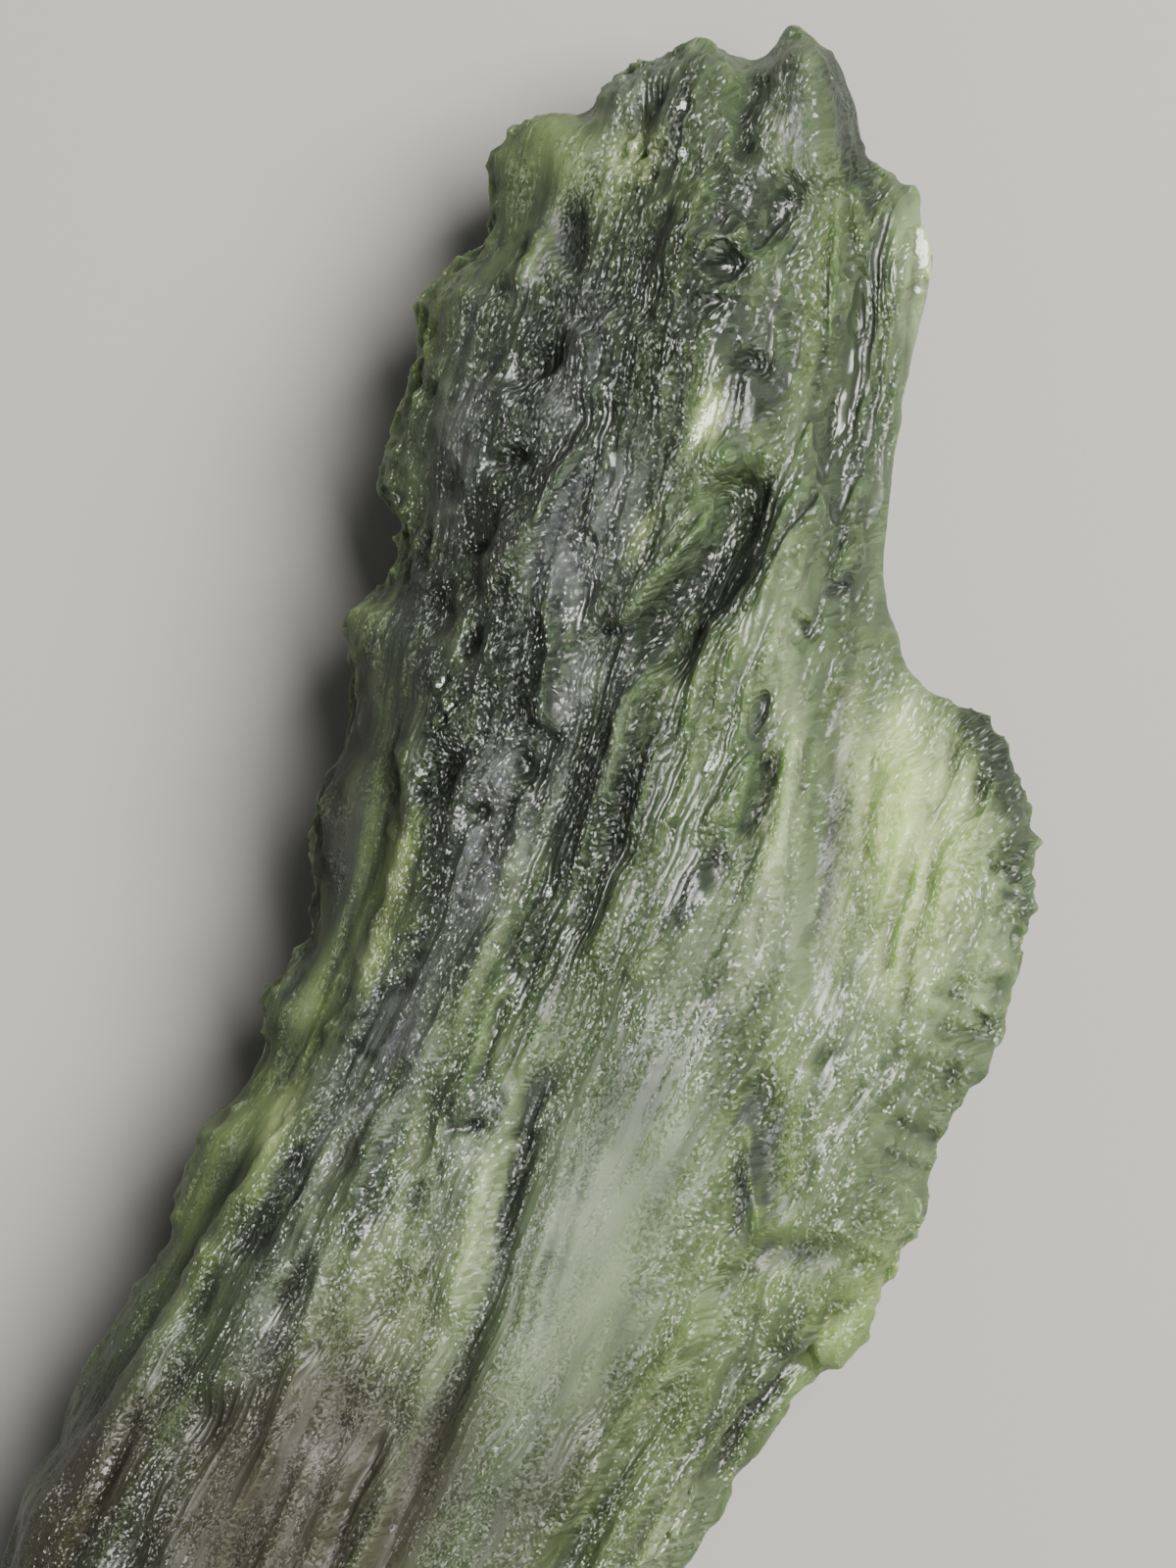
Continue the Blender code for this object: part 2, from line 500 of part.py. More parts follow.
def cut_flat_spot(stone, cutters):
    """Takes off what is below the ground plane, so that the stone lies on a small flat spot."""
    bpy.ops.mesh.primitive_cube_add(size=1.0)
    cutter = bpy.context.object
    cutter.name = "GroundCutter"
    for owner in list(cutter.users_collection):
        owner.objects.unlink(cutter)
    cutters.objects.link(cutter)
    cutter.scale = (CUTTER_SPAN, CUTTER_SPAN, CUTTER_HEIGHT)
    cutter.location = (0.0, 0.0, -CUTTER_HEIGHT / 2.0)
    cutter.hide_render = True
    cutter.display_type = "WIRE"
    cut = stone.modifiers.new("Flat spot", "BOOLEAN")
    cut.operation = "DIFFERENCE"
    cut.solver = "EXACT"
    cut.object = cutter


def glass_material():
    glass = bpy.data.materials.new("Moldavite glass")
    glass.use_nodes = True
    surface = glass.node_tree.nodes["Principled BSDF"]
    surface.inputs["Base Color"].default_value = GLASS_COLOUR
    surface.inputs["Roughness"].default_value = GLASS_ROUGHNESS
    surface.inputs["Metallic"].default_value = 0.0
    return glass


def build():
    clear_scene()
    parts = new_collection("Moldavite")
    cutters = new_collection("Cutters")
    stone = make_slab(parts)
    swell(stone)
    carve(stone)
    thin_out(stone)
    place(stone)
    stone.data.materials.clear()
    stone.data.materials.append(glass_material())
    cut_flat_spot(stone, cutters)


build()
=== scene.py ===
# A moldavite, a long flattened piece of etched green glass, lying on a pale floor.
# The CAD node gives the body and its large forms. A copy of it is made fine, carved
# with ribs, grooves and pits, etched by a Geometry Nodes tree, and given a see-through glass.
# The stone is worked on in millimetres and brought back to metres at the end.

import bmesh
import bpy
import numpy as np
from mathutils import Matrix, Vector, noise


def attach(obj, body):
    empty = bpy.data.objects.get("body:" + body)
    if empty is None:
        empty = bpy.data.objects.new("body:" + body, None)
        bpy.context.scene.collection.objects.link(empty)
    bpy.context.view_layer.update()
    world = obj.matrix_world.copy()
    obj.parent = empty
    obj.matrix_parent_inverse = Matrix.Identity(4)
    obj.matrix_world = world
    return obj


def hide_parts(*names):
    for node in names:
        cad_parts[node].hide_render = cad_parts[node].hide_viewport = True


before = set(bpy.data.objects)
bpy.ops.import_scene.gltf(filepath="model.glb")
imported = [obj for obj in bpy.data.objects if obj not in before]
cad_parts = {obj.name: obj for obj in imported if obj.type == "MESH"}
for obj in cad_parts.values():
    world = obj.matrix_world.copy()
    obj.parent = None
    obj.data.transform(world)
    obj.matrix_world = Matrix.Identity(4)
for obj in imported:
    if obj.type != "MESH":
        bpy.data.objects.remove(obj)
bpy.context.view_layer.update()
print("frame loaded")

millimetre = 0.001

# flow lines run along the stone and lean to the left lower down, as in the part
flow = {
    "slope": 0.37,
    "bend": -0.0067,
    "seed": 4,                 # of the noise that bends lines, so that each run gives the same
}


def smoothStep(low, high, value):
    share = np.clip((value - low) / (high - low), 0.0, 1.0)
    return share * share * (3.0 - 2.0 * share)


def acrossFlow(x, y):
    return x - flow["slope"] * y - flow["bend"] * y * y


def alongAndAcross(offX, offY, lean):
    axisX, axisY = np.sin(np.radians(lean)), np.cos(np.radians(lean))
    return offX * axisX + offY * axisY, offX * axisY - offY * axisX


def readVectors(items, name):
    flat = np.empty(len(items) * 3, np.float32)
    items.foreach_get(name, flat)
    return flat.reshape(-1, 3).astype(float)


def readPoints(mesh):
    return readVectors(mesh.vertices, "co")


def writePoints(mesh, points):
    mesh.vertices.foreach_set("co", points.astype(np.float32).ravel())
    mesh.update()


def readNormals(mesh):
    return readVectors(mesh.vertex_normals, "vector")


def writeAttribute(mesh, name, values):
    attribute = mesh.attributes.get(name) or mesh.attributes.new(name, "FLOAT", "POINT")
    attribute.data.foreach_set("value", values.astype(np.float32))


def applyModifiers(piece):
    graph = bpy.context.evaluated_depsgraph_get()
    made = bpy.data.meshes.new_from_object(piece.evaluated_get(graph))
    piece.modifiers.clear()
    old = piece.data
    piece.data = made
    bpy.data.meshes.remove(old)


# body of the stone

body = {
    "mergeReach": 1e-7,        # metres, corners of the CAD mesh that are one point
    "voxel": 0.12,             # mm, of the copy that is carved
    "roundingPasses": 7,       # smoothing that takes the facets out of the copy
    "roundingFactor": 0.5,
    "calmPasses": 40,          # further smoothing of the face, which the fine carving then covers
    "calmFacing": (0.35, 0.7),  # how much a surface has to face up to be smoothed further
    "triangles": 197000,
    "faceShare": 0.1,          # how readily the face gives up triangles, against the underside
    "underside": (-0.2, 0.3),  # how much a surface has to face down to count as underside
    "weightSteps": 10,         # steps of a vertex group's weights
}


def copyOfNode(name):
    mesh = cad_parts[name].data.copy()
    shape = bmesh.new()
    shape.from_mesh(mesh)
    bmesh.ops.remove_doubles(shape, verts=shape.verts, dist=body["mergeReach"])
    shape.to_mesh(mesh)
    shape.free()
    mesh.materials.clear()
    piece = bpy.data.objects.new(name + "_glass", mesh)
    bpy.context.scene.collection.objects.link(piece)
    mesh.transform(Matrix.Scale(1.0 / millimetre, 4))
    return piece


def makeFine(piece, voxel, passes):
    remesh = piece.modifiers.new("Fine", "REMESH")
    remesh.mode = "VOXEL"
    remesh.voxel_size = voxel
    remesh.use_smooth_shade = True
    rounding = piece.modifiers.new("Rounding", "SMOOTH")
    rounding.factor = body["roundingFactor"]
    rounding.iterations = passes
    applyModifiers(piece)


def addWeights(piece, name, weights):
    steps = body["weightSteps"]
    group = piece.vertex_groups.new(name=name)
    levels = np.round(weights * steps).astype(int)
    for level in range(1, steps + 1):
        group.add(np.nonzero(levels == level)[0].tolist(), level / steps, "REPLACE")


def calm(piece):
    facing = smoothStep(*body["calmFacing"], readNormals(piece.data)[:, 2])
    addWeights(piece, "calm", facing)
    rounding = piece.modifiers.new("Calm", "SMOOTH")
    rounding.factor = body["roundingFactor"]
    rounding.iterations = body["calmPasses"]
    rounding.vertex_group = "calm"
    applyModifiers(piece)
    piece.vertex_groups.clear()


def thinOut(piece):
    mesh = piece.data
    under = smoothStep(*body["underside"], -readNormals(mesh)[:, 2])
    addWeights(piece, "thin", body["faceShare"] + (1.0 - body["faceShare"]) * under)
    decimate = piece.modifiers.new("Thin out", "DECIMATE")
    mesh.calc_loop_triangles()
    decimate.ratio = body["triangles"] / len(mesh.loop_triangles)
    decimate.use_collapse_triangulate = True
    decimate.vertex_group = "thin"
    decimate.vertex_group_factor = 1.0
    applyModifiers(piece)
    piece.vertex_groups.clear()


# the stone rests on its lowest points and none goes through the floor
def settle(piece):
    points = readPoints(piece.data)
    points[:, 2] = np.maximum(points[:, 2], 0.0)
    writePoints(piece.data, points)


# carving, along routes read from the photograph, in mm of the part's frame

carving = {
    "strength": 1.0,           # of all that is carved
    "endTaper": 0.22,          # share of a route over which its ends fade
    "endWidth": 0.4,           # width at a route's ends, as a share of its middle
    "brink": 1.4,              # how far a groove's sides lie out, in half-widths
    "crestPower": 1.5,         # higher makes a rib's crest blunter
    "bowlPower": 0.8,          # lower makes the edge of a bowl steeper
    "strokeReach": 3.0,        # how far out a rib is worked out, in half-widths
    "wallReach": 2.5,          # and a wall, in reaches of its low ground
    "wallWidth": (-0.1, 0.2),  # mm, across the edge of a wall
    "waver": ((1.3, 0.12), (0.45, 0.05)),  # mm, sizes and reaches of the noise that bends routes
    "facing": (0.05, 0.35),    # how much a surface has to face up to be carved
    "room": (1.0, 2.5),        # mm, heights over which hollows gain their full depth
    "voxel": 0.1,              # mm, of the remesh after the carving
    "rounding": 1,
}

# ribs and grooves: half-width, rise, and the route of the crest or floor
strokes = {
    "peak rib": (0.75, 0.34, [(7.61, 24.58), (7.89, 23.33), (8, 21.94), (8, 20.56),
        (7.94, 19.58)]),
    "peak rib crest": (0.25, 0.11, [(7.78, 24.17), (8.08, 22.78), (8.14, 21.39), (8.14, 20.14)]),
    "notch of the head": (0.28, -0.23, [(6.69, 23.72), (6.61, 23.06), (6.44, 22.22),
        (6.31, 21.25), (6.22, 20.28)]),
    "head diagonal": (0.32, -0.27, [(7.94, 20.19), (7.53, 19.56), (7.06, 18.89), (6.67, 18.33)]),
    "strip beside the edge rib": (0.3, -0.09, [(10.47, 19.94), (10.28, 18.89), (10.06, 17.78),
        (9.86, 16.67), (9.69, 15.42)]),
    "head rib 1": (0.16, 0.2, [(5.44, 24.28), (5.14, 23.56), (4.94, 22.72), (4.83, 21.94)]),
    "head rib 2": (0.18, 0.21, [(3.83, 23.94), (3.5, 23.33), (3.17, 22.67), (2.78, 22)]),
    "head rib 3": (0.18, 0.17, [(3.33, 23.61), (2.92, 22.92), (2.58, 22.28)]),
    "head rib 4": (0.14, 0.15, [(6.03, 21.94), (5.83, 21.25), (5.69, 20.5)]),
    "head rib 5": (0.2, 0.29, [(5.19, 20.33), (5.08, 19.67), (4.89, 19.03), (4.69, 18.33),
        (4.53, 17.5), (4.31, 16.81), (4.17, 16.17)]),
    "head rib 6": (0.16, 0.17, [(6.75, 22.83), (6.72, 21.81), (6.64, 20.69)]),
    "edge line 1": (0.12, 0.22, [(9.03, 20.67), (8.92, 19.86), (8.81, 18.89), (8.72, 17.5),
        (8.67, 16.11), (8.58, 14.86)]),
    "edge line 2": (0.18, 0.24, [(9.5, 20.61), (9.47, 19.58), (9.44, 18.47)]),
    "edge blade": (0.14, 0.39, [(10.31, 20.11), (10, 19.39), (9.78, 18.83), (9.56, 18.33)]),
    "edge rib": (0.3, 0.18, [(10.53, 20.33), (10.53, 18.89), (10.44, 17.5), (10.5, 16.11),
        (10.56, 14.72), (10.44, 13.33), (10.28, 11.94)]),
    "edge tuft": (0.25, 0.14, [(9, 17.72), (9, 17.08), (8.86, 16.25)]),
    "brow": (0.2, 0.35, [(4.72, 17.94), (5.28, 18.31), (6, 18.47), (6.5, 18.78)]),
    "shoulder rib": (0.2, 0.29, [(0.72, 19.03), (0.56, 18.28), (0.28, 17.67), (-0.06, 17)]),
    "upper chunk 1": (0.2, 0.24, [(2.56, 16.61), (2.61, 15.83), (2.75, 14.86)]),
    "upper chunk 2": (0.2, 0.24, [(1.44, 16.33), (1.89, 15.61), (2.08, 14.78), (1.89, 13.94),
        (1.72, 13.44)]),
    "darkest pit": (0.42, -0.27, [(-1.56, 4.94), (-1.89, 4.17), (-2.22, 3.47), (-2.56, 2.72)]),
    "slot beside it": (0.26, -0.14, [(1.03, 5.33), (0.86, 4.44), (0.64, 3.56)]),
    "oblique rib 1": (0.2, 0.42, [(1.78, 13.28), (1.72, 12.64), (1.36, 12.19), (1, 11.78),
        (0.75, 11.22), (0.47, 10.67), (0.11, 10.11), (-0.28, 9.56), (-0.64, 9.03), (-0.86, 8.61)]),
    "oblique rib 2": (0.14, 0.28, [(0.86, 11.67), (0.67, 10.97), (0.56, 10.28), (0.19, 9.58),
        (-0.06, 9.03), (-0.28, 8.5)]),
    "oblique rib 3": (0.16, 0.24, [(2.06, 11.89), (2.22, 11.11), (2.11, 10.42), (1.89, 9.89),
        (1.64, 9.31)]),
    "long rib": (0.18, 0.39, [(1.36, 9.94), (1, 9.03), (0.81, 8.19), (0.94, 7.44), (0.75, 6.5),
        (0.61, 5.56), (0.5, 4.67)]),
    "long rib, second": (0.14, 0.24, [(1.58, 8.17), (1.44, 7.36), (1.36, 6.67), (1.14, 5.89)]),
    "short rib 1": (0.14, 0.21, [(2.67, 9.39), (2.42, 8.83), (2.25, 8.06)]),
    "short rib 2": (0.14, 0.21, [(2.61, 12.61), (2.53, 11.83)]),
    "short rib 3": (0.15, 0.21, [(3.81, 14.83), (3.94, 14.11), (4.08, 13.5)]),
    "left twin": (0.13, 0.28, [(4.92, 11.22), (4.39, 10.56), (3.94, 9.89), (3.61, 9.22),
        (3.14, 8.78)]),
    "main twin": (0.2, 0.49, [(5.61, 11.5), (5.03, 10.61), (4.47, 9.94), (4, 9.31), (3.5, 8.75),
        (2.83, 8.11), (2.33, 7.58)]),
    "right twin": (0.13, 0.24, [(5.86, 11.06), (5.33, 10.28), (4.89, 9.72), (4.56, 9.17),
        (4.25, 8.78)]),
    "between the twins": (0.12, -0.21, [(5.28, 11.44), (4.67, 10.53), (4.19, 9.83), (3.75, 9.17)]),
    "pale bar": (0.14, 0.24, [(6.67, 13.11), (6.42, 12.5), (6.11, 11.89)]),
    "pale bar, second": (0.12, 0.21, [(6.94, 12.89), (6.83, 12.22), (6.64, 11.72)]),
    "edge spur": (0.12, 0.24, [(-2.22, 11.39), (-2.31, 10.42), (-2.47, 9.61)]),
    "great groove floor": (0.45, -0.2, [(6.44, 12.5), (6.11, 11.39), (5.67, 10.28), (5.17, 9.44),
        (4.56, 8.67), (3.72, 8.06), (2.89, 7.64)]),
    "crest line 1": (0.13, 0.28, [(7.61, 12), (7.33, 11.11), (7.06, 10.5), (6.78, 9.83),
        (6.61, 9.33)]),
    "crest line 2": (0.13, 0.28, [(7.89, 10.89), (7.47, 10.25), (7.14, 9.69), (6.83, 9.14),
        (6.61, 8.56)]),
    "crest line 3": (0.13, 0.24, [(8.22, 13.67), (8.03, 13.06), (7.81, 12.5)]),
    "crest line 4": (0.13, 0.24, [(9.75, 12.33), (9.5, 11.67), (9.33, 11.11), (9.11, 10.56)]),
    "between the crest lines": (0.15, -0.24, [(9.03, 14.86), (8.78, 13.61), (8.44, 12.22),
        (8.06, 11.39), (7.61, 10.61), (7.22, 9.94)]),
    "bright chip": (0.2, 0.28, [(9.5, 10.39), (9.06, 9.78), (8.67, 9.22)]),
    "under the chip": (0.18, -0.27, [(9.33, 9.44), (8.89, 9.06), (8.56, 8.78)]),
    "crossing rib": (0.15, 0.28, [(7.44, 8.72), (7.83, 8.39), (8.28, 8.06)]),
    "under the crossing rib": (0.14, -0.24, [(7.61, 8.22), (7.94, 7.89), (8.17, 7.61)]),
    "bright run": (0.2, 0.35, [(7.39, 8.44), (7.11, 7.78), (6.92, 6.94), (6.61, 6.17)]),
    "bright run, second": (0.14, 0.21, [(7.78, 7.5), (7.5, 6.83), (7.31, 6.39)]),
    "pale band edge": (0.2, 0.28, [(9.61, 8.22), (9.33, 7.56), (9, 6.89), (8.78, 6.25)]),
    "slope rib 1": (0.14, 0.32, [(5.83, 8.72), (5.44, 8.06), (5.11, 7.33), (4.94, 6.61),
        (4.78, 5.78), (4.56, 4.94), (4.33, 4.17)]),
    "slope rib 2": (0.15, 0.28, [(6.42, 6.83), (6.25, 5.94), (6.08, 5.11), (5.72, 4.31)]),
    "slope rib 3": (0.15, 0.24, [(6, 7.61), (5.78, 6.67), (5.5, 5.72), (5.22, 5)]),
    "slope rib 4": (0.16, 0.28, [(5.17, 5.97), (5.06, 5.14), (4.83, 4.39), (4.56, 3.61),
        (4.17, 2.83), (3.83, 2.22)]),
    "middle rib 1": (0.18, 0.32, [(3.22, 6.83), (2.97, 5.97), (2.78, 5.14), (2.64, 4.44),
        (2.36, 3.75), (2.14, 3.17), (1.94, 2.44), (1.78, 1.89), (1.53, 1.28), (1.33, 0.69)]),
    "middle rib 2": (0.15, 0.28, [(3.94, 5.22), (3.86, 4.56), (3.67, 3.89), (3.39, 3.17),
        (3.14, 2.44), (2.94, 1.89)]),
    "middle rib 3": (0.2, 0.32, [(0.28, 3.56), (0.17, 2.89), (0.11, 2.17), (-0.17, 1.28),
        (-0.39, 0.69)]),
    "dark run": (0.3, -0.14, [(3.33, 4.31), (3, 3.17), (2.83, 2.06), (2.44, 1.11), (2.06, 0.28),
        (1.72, -0.56), (1.5, -1.53)]),
    "broad pale rib": (0.33, 0.25, [(-0.11, 0.33), (-0.56, -0.33), (-0.86, -1.11),
        (-1.25, -1.94), (-1.56, -2.78), (-1.97, -3.39), (-2.36, -3.94), (-2.72, -4.61)]),
    "fine line beside it": (0.13, 0.21, [(0.44, -0.17), (0.25, -0.83), (0.03, -1.61)]),
    "pale rib": (0.28, 0.18, [(2.94, 1.78), (2.78, 1.11), (2.61, 0.28), (2.28, -0.56),
        (2.03, -1.44)]),
    "pale rib, second": (0.2, 0.24, [(3.94, -0.72), (3.44, -1.28), (2.97, -1.72)]),
    "hooked line": (0.13, 0.28, [(0.86, -2.56), (0.56, -3.06), (0.39, -3.61), (0.14, -4.28)]),
    "scoop edge": (0.2, -0.33, [(7.03, 4.67), (6.97, 3.89), (6.69, 3.19), (6.28, 2.56),
        (6, 1.94)]),
    "scoop rib": (0.2, 0.32, [(6.61, 4.67), (6.17, 3.72), (5.61, 2.94), (5.17, 2.28)]),
    "cleft right of the long rib": (0.18, -0.24, [(-0.17, -1.94), (-0.5, -2.78), (-0.72, -3.67),
        (-0.92, -4.86)]),
    "band rib": (0.32, 0.2, [(7.78, 6.39), (7.61, 5.28), (7.36, 3.89), (7.17, 2.5), (6.89, 1.39),
        (6.61, 0.56), (6.42, -0.06)]),
    "band rib, second": (0.2, 0.2, [(8.28, 6.39), (8.22, 5.14), (8.11, 3.89), (7.94, 2.5),
        (7.78, 1.39), (7.61, 0), (7.5, -0.89), (7.78, -1.61)]),
    "band trough": (0.45, -0.07, [(9, 6.39), (8.72, 4.17), (8.61, 1.94), (8.5, -0.28),
        (8.39, -1.94), (8.22, -3.33)]),
    "band line": (0.12, -0.18, [(7.11, 1.67), (6.83, 0.69), (6.56, -0.33), (6.39, -1.53)]),
    "wing rib 1": (0.25, 0.04, [(9.83, 4.58), (9.67, 2.78), (9.42, 1.39), (9.19, 0.14),
        (9.08, -0.97)]),
    "wing rib 2": (0.4, 0.18, [(10.83, 5.14), (10.75, 3.61), (10.61, 2.22), (10.36, 1.11),
        (10.11, 0), (9.94, -0.97)]),
    "wing line 1": (0.16, -0.24, [(11.25, 2.17), (10.83, 0.89), (10.53, 0), (10.25, -1.06),
        (9.94, -2.06)]),
    "wing rib 3": (0.18, 0.35, [(11.44, 2), (11.11, 0.83), (10.83, -0.17), (10.58, -1.11),
        (10.39, -2.06)]),
    "wing line 2": (0.16, -0.23, [(11.78, 2.22), (11.28, 0.69), (10.97, -0.56), (10.78, -2.06),
        (10.61, -3.19)]),
    "wing rib 4": (0.22, 0.35, [(12.83, 3.19), (12.36, 2.22), (11.94, 1.11), (11.67, 0),
        (11.5, -1.25)]),
    "wing rib 5": (0.14, 0.28, [(13.53, 4.03), (13.22, 3.28), (12.78, 2.36), (12.47, 1.61)]),
    "wing line 3": (0.2, -0.24, [(12.89, 4.03), (12.78, 3.28), (12.47, 2.44), (12.11, 1.89)]),
    "wing tooth 1": (0.13, -0.27, [(12.94, 1.5), (13.58, 1.19), (14.33, 0.81)]),
    "wing tooth 2": (0.1, -0.18, [(13.28, 0.61), (13.83, 0.44), (14.44, 0.22)]),
    "wing tooth 3": (0.15, -0.3, [(11.92, -2.06), (12.61, -2.61), (13.33, -3.22)]),
    "wing tooth 4": (0.12, -0.21, [(11.36, -2.11), (12, -2.44), (12.61, -2.94)]),
    "wing tooth 5": (0.18, -0.21, [(11.5, -3.28), (12.19, -3.5), (13.17, -3.44)]),
    "wing rib 6": (0.2, 0.15, [(13.22, 0.14), (12.94, -1.11), (12.78, -2.22)]),
    "green ridge": (0.13, 0.24, [(6.25, -5.33), (6.33, -6.39), (6.47, -7.5), (6.58, -8.39),
        (6.69, -9.22)]),
    "serration 1": (0.2, -0.18, [(10.19, -5.67), (11.08, -6.17), (12.22, -6.61)]),
    "serration 2": (0.17, -0.15, [(9.97, -6.5), (10.81, -6.97), (11.92, -7.44)]),
    "serration 3": (0.16, -0.13, [(9.5, -7.17), (10.17, -7.72), (11.22, -8.28)]),
    "crossing ridge": (0.15, 0.21, [(7.78, -8.56), (8.94, -8.83), (9.83, -9.28), (10.61, -9.67)]),
    "speckled rib": (0.33, 0.19, [(5.44, -9.89), (4.67, -11.28), (4.06, -12.33), (3.22, -13.33),
        (2.5, -14.44), (1.78, -15.56), (1.11, -16.67), (0.53, -17.92)]),
    "brown groove": (0.38, -0.2, [(4.83, -12.11), (3.83, -13.56), (3.22, -14.72), (2.5, -15.83),
        (1.83, -17.22), (1.17, -18.61), (0.53, -20)]),
    "hatched band": (0.5, 0.14, [(6.28, -11.11), (5.39, -12.72), (4.64, -14.17), (3.78, -15.56),
        (2.94, -16.94), (2.22, -18.33), (1.5, -19.86)]),
    "smooth line": (0.17, 0.29, [(8.56, -10.89), (7.39, -12.28), (6.5, -13.22), (5.83, -14.17),
        (5.25, -15.06), (4.56, -15.89), (3.89, -16.94), (3.31, -18.11), (2.67, -19.44)]),
    "dark groove beside it": (0.28, -0.29, [(7.94, -12.44), (7.06, -13.5), (6.22, -14.44),
        (5.67, -15.28), (5.28, -15.94)]),
    "fine spur": (0.1, 0.2, [(7.39, -13.56), (6.72, -14.17), (6.17, -14.78)]),
    "dome line 1": (0.12, -0.1, [(2.67, -4.89), (1.94, -6.67), (1.42, -8.33), (1, -10.28),
        (0.61, -11.67)]),
    "dome line 2": (0.12, -0.11, [(2, -5.17), (1.44, -6.94), (0.94, -8.89), (0.53, -10.56),
        (0.11, -11.94)]),
    "dome line 3": (0.12, -0.12, [(1.33, -5.56), (0.75, -7.5), (0.33, -9.17), (0, -10.83),
        (-0.44, -12.22)]),
    "fold": (0.3, -0.14, [(2.22, -3), (1.64, -3.75), (0.94, -4.33), (0.53, -4.78), (0.33, -5.56),
        (0.19, -6.39), (-0.11, -7.5), (-0.39, -8.61), (-0.61, -10), (-1, -11.17), (-1.56, -12.5),
        (-2.22, -13.89), (-2.81, -15.28), (-3.36, -16.67), (-3.94, -18.17), (-4.56, -19.72)]),
    "chip in the fold": (0.12, 0.22, [(1.06, -4.89), (0.69, -5.33), (0.33, -5.83)]),
    "bright slope": (0.32, 0.18, [(-0.67, -6.11), (-0.94, -7.22), (-1.22, -8.61), (-1.56, -10),
        (-2.06, -10.97)]),
    "left tooth 1": (0.14, -0.12, [(-2.22, -0.31), (-2.72, -0.56), (-3.39, -0.78)]),
    "left tooth 2": (0.14, -0.12, [(-2.33, -0.89), (-2.94, -1.14), (-3.56, -1.31)]),
    "left tooth 3": (0.2, -0.17, [(-2.72, -1.61), (-3.33, -1.94), (-4.06, -2.17)]),
    "left tooth 4": (0.14, -0.12, [(-3.72, -2.5), (-4.33, -2.78), (-5.03, -3.06)]),
    "left tooth 5": (0.14, -0.12, [(-5.03, -3.22), (-4.33, -3.56), (-3.67, -3.94)]),
    "dark run, left": (0.3, -0.23, [(-5.44, -5.83), (-6.17, -6.94), (-6.67, -7.89),
        (-7.17, -8.75), (-7.61, -9.56)]),
    "olive rib 1": (0.22, 0.24, [(-0.17, -0.97), (-0.56, -2.22), (-0.97, -3.61), (-1.39, -4.72),
        (-1.78, -5.61)]),
    "olive rib 2": (0.22, 0.21, [(-1.33, -0.69), (-1.69, -1.67), (-2.08, -2.78), (-2.56, -3.78),
        (-3.11, -4.72), (-3.72, -5.83), (-4.28, -7.22), (-4.83, -8.61), (-5.28, -10),
        (-5.67, -11.53), (-6.22, -13.06), (-6.72, -14.5), (-7.33, -16.11), (-7.94, -18.06)]),
    "olive rib 3": (0.3, 0.16, [(-6.5, -9.22), (-7.11, -10.83), (-7.78, -12.22), (-8.44, -13.33)]),
    "olive rib 4": (0.3, 0.14, [(-9.44, -10.17), (-10.11, -11.67), (-10.69, -13.06),
        (-11.33, -14.61), (-12.06, -16.39), (-12.67, -18.33)]),
    "olive rib 5": (0.22, 0.21, [(-5.28, -13.89), (-5.94, -15.56), (-6.64, -17.08),
        (-7.33, -18.89)]),
    "olive rib 6": (0.22, 0.21, [(-4.28, -14.17), (-4.89, -15.69), (-5.61, -17.36),
        (-6.28, -19.17)]),
    "olive rib 7": (0.22, 0.21, [(-2.94, -14.72), (-3.61, -16.11), (-4.33, -17.5),
        (-5.03, -19.31)]),
    "olive rib 8": (0.2, 0.17, [(-3.5, -11.39), (-4.06, -12.64), (-4.61, -13.89)]),
    "dark line, low left": (0.18, -0.24, [(-3.33, -13.61), (-3.72, -14.44), (-4.17, -15.22),
        (-4.61, -16.39), (-5.17, -17.78)]),
    "dark line 2, low left": (0.18, -0.21, [(-6.28, -14.17), (-6.89, -15.56), (-7.44, -16.67),
        (-8, -18.06)]),
    "dark line 3, low left": (0.2, -0.21, [(-9.94, -12.5), (-10.44, -13.89), (-11.06, -15.28),
        (-11.67, -16.67), (-12.28, -18.06)]),
    "green line of the wing": (0.14, -0.27, [(11.08, 2.5), (10.72, 1.53), (10.39, 0.42),
        (10.11, -0.69)]),
    "rim of the pale bar": (0.16, -0.24, [(12.19, 5.14), (12.11, 4.03), (11.64, 3.06),
        (11.36, 2.36)]),
    "between wing ribs": (0.14, -0.24, [(12.75, 2.22), (12.39, 1.11), (12.06, -0.14),
        (11.92, -1.25)]),
    "wing bar, pale": (0.2, 0.24, [(10.33, 4.72), (10.19, 3.61), (10, 2.36), (9.83, 1.11)]),
    "beside the pale bar": (0.14, -0.21, [(9.97, 4.86), (9.78, 3.61), (9.61, 2.22), (9.44, 0.69)]),
    "edge thread 1": (0.14, -0.12, [(9.61, 17.5), (9.53, 16.39), (9.47, 15), (9.33, 13.61),
        (9.17, 12.5)]),
    "edge thread 2": (0.14, -0.09, [(10.06, 16.67), (10, 15.28), (9.94, 13.89), (9.81, 12.5),
        (9.61, 11.39)]),
    "edge thread 3": (0.14, -0.12, [(8.5, 17.5), (8.47, 16.11), (8.39, 14.72), (8.22, 13.61)]),
    "band thread": (0.12, -0.18, [(7.94, 5.28), (7.81, 3.89), (7.61, 2.5), (7.47, 1.11),
        (7.33, 0)]),
    "edge thread 4": (0.12, -0.11, [(10.69, 20.14), (10.78, 18.61), (10.61, 16.67),
        (10.39, 14.72), (10.19, 13.06)]),
    "edge thread 5": (0.12, -0.1, [(11.19, 19.03), (11.11, 17.5), (10.89, 16.11), (10.64, 14.31)]),
}

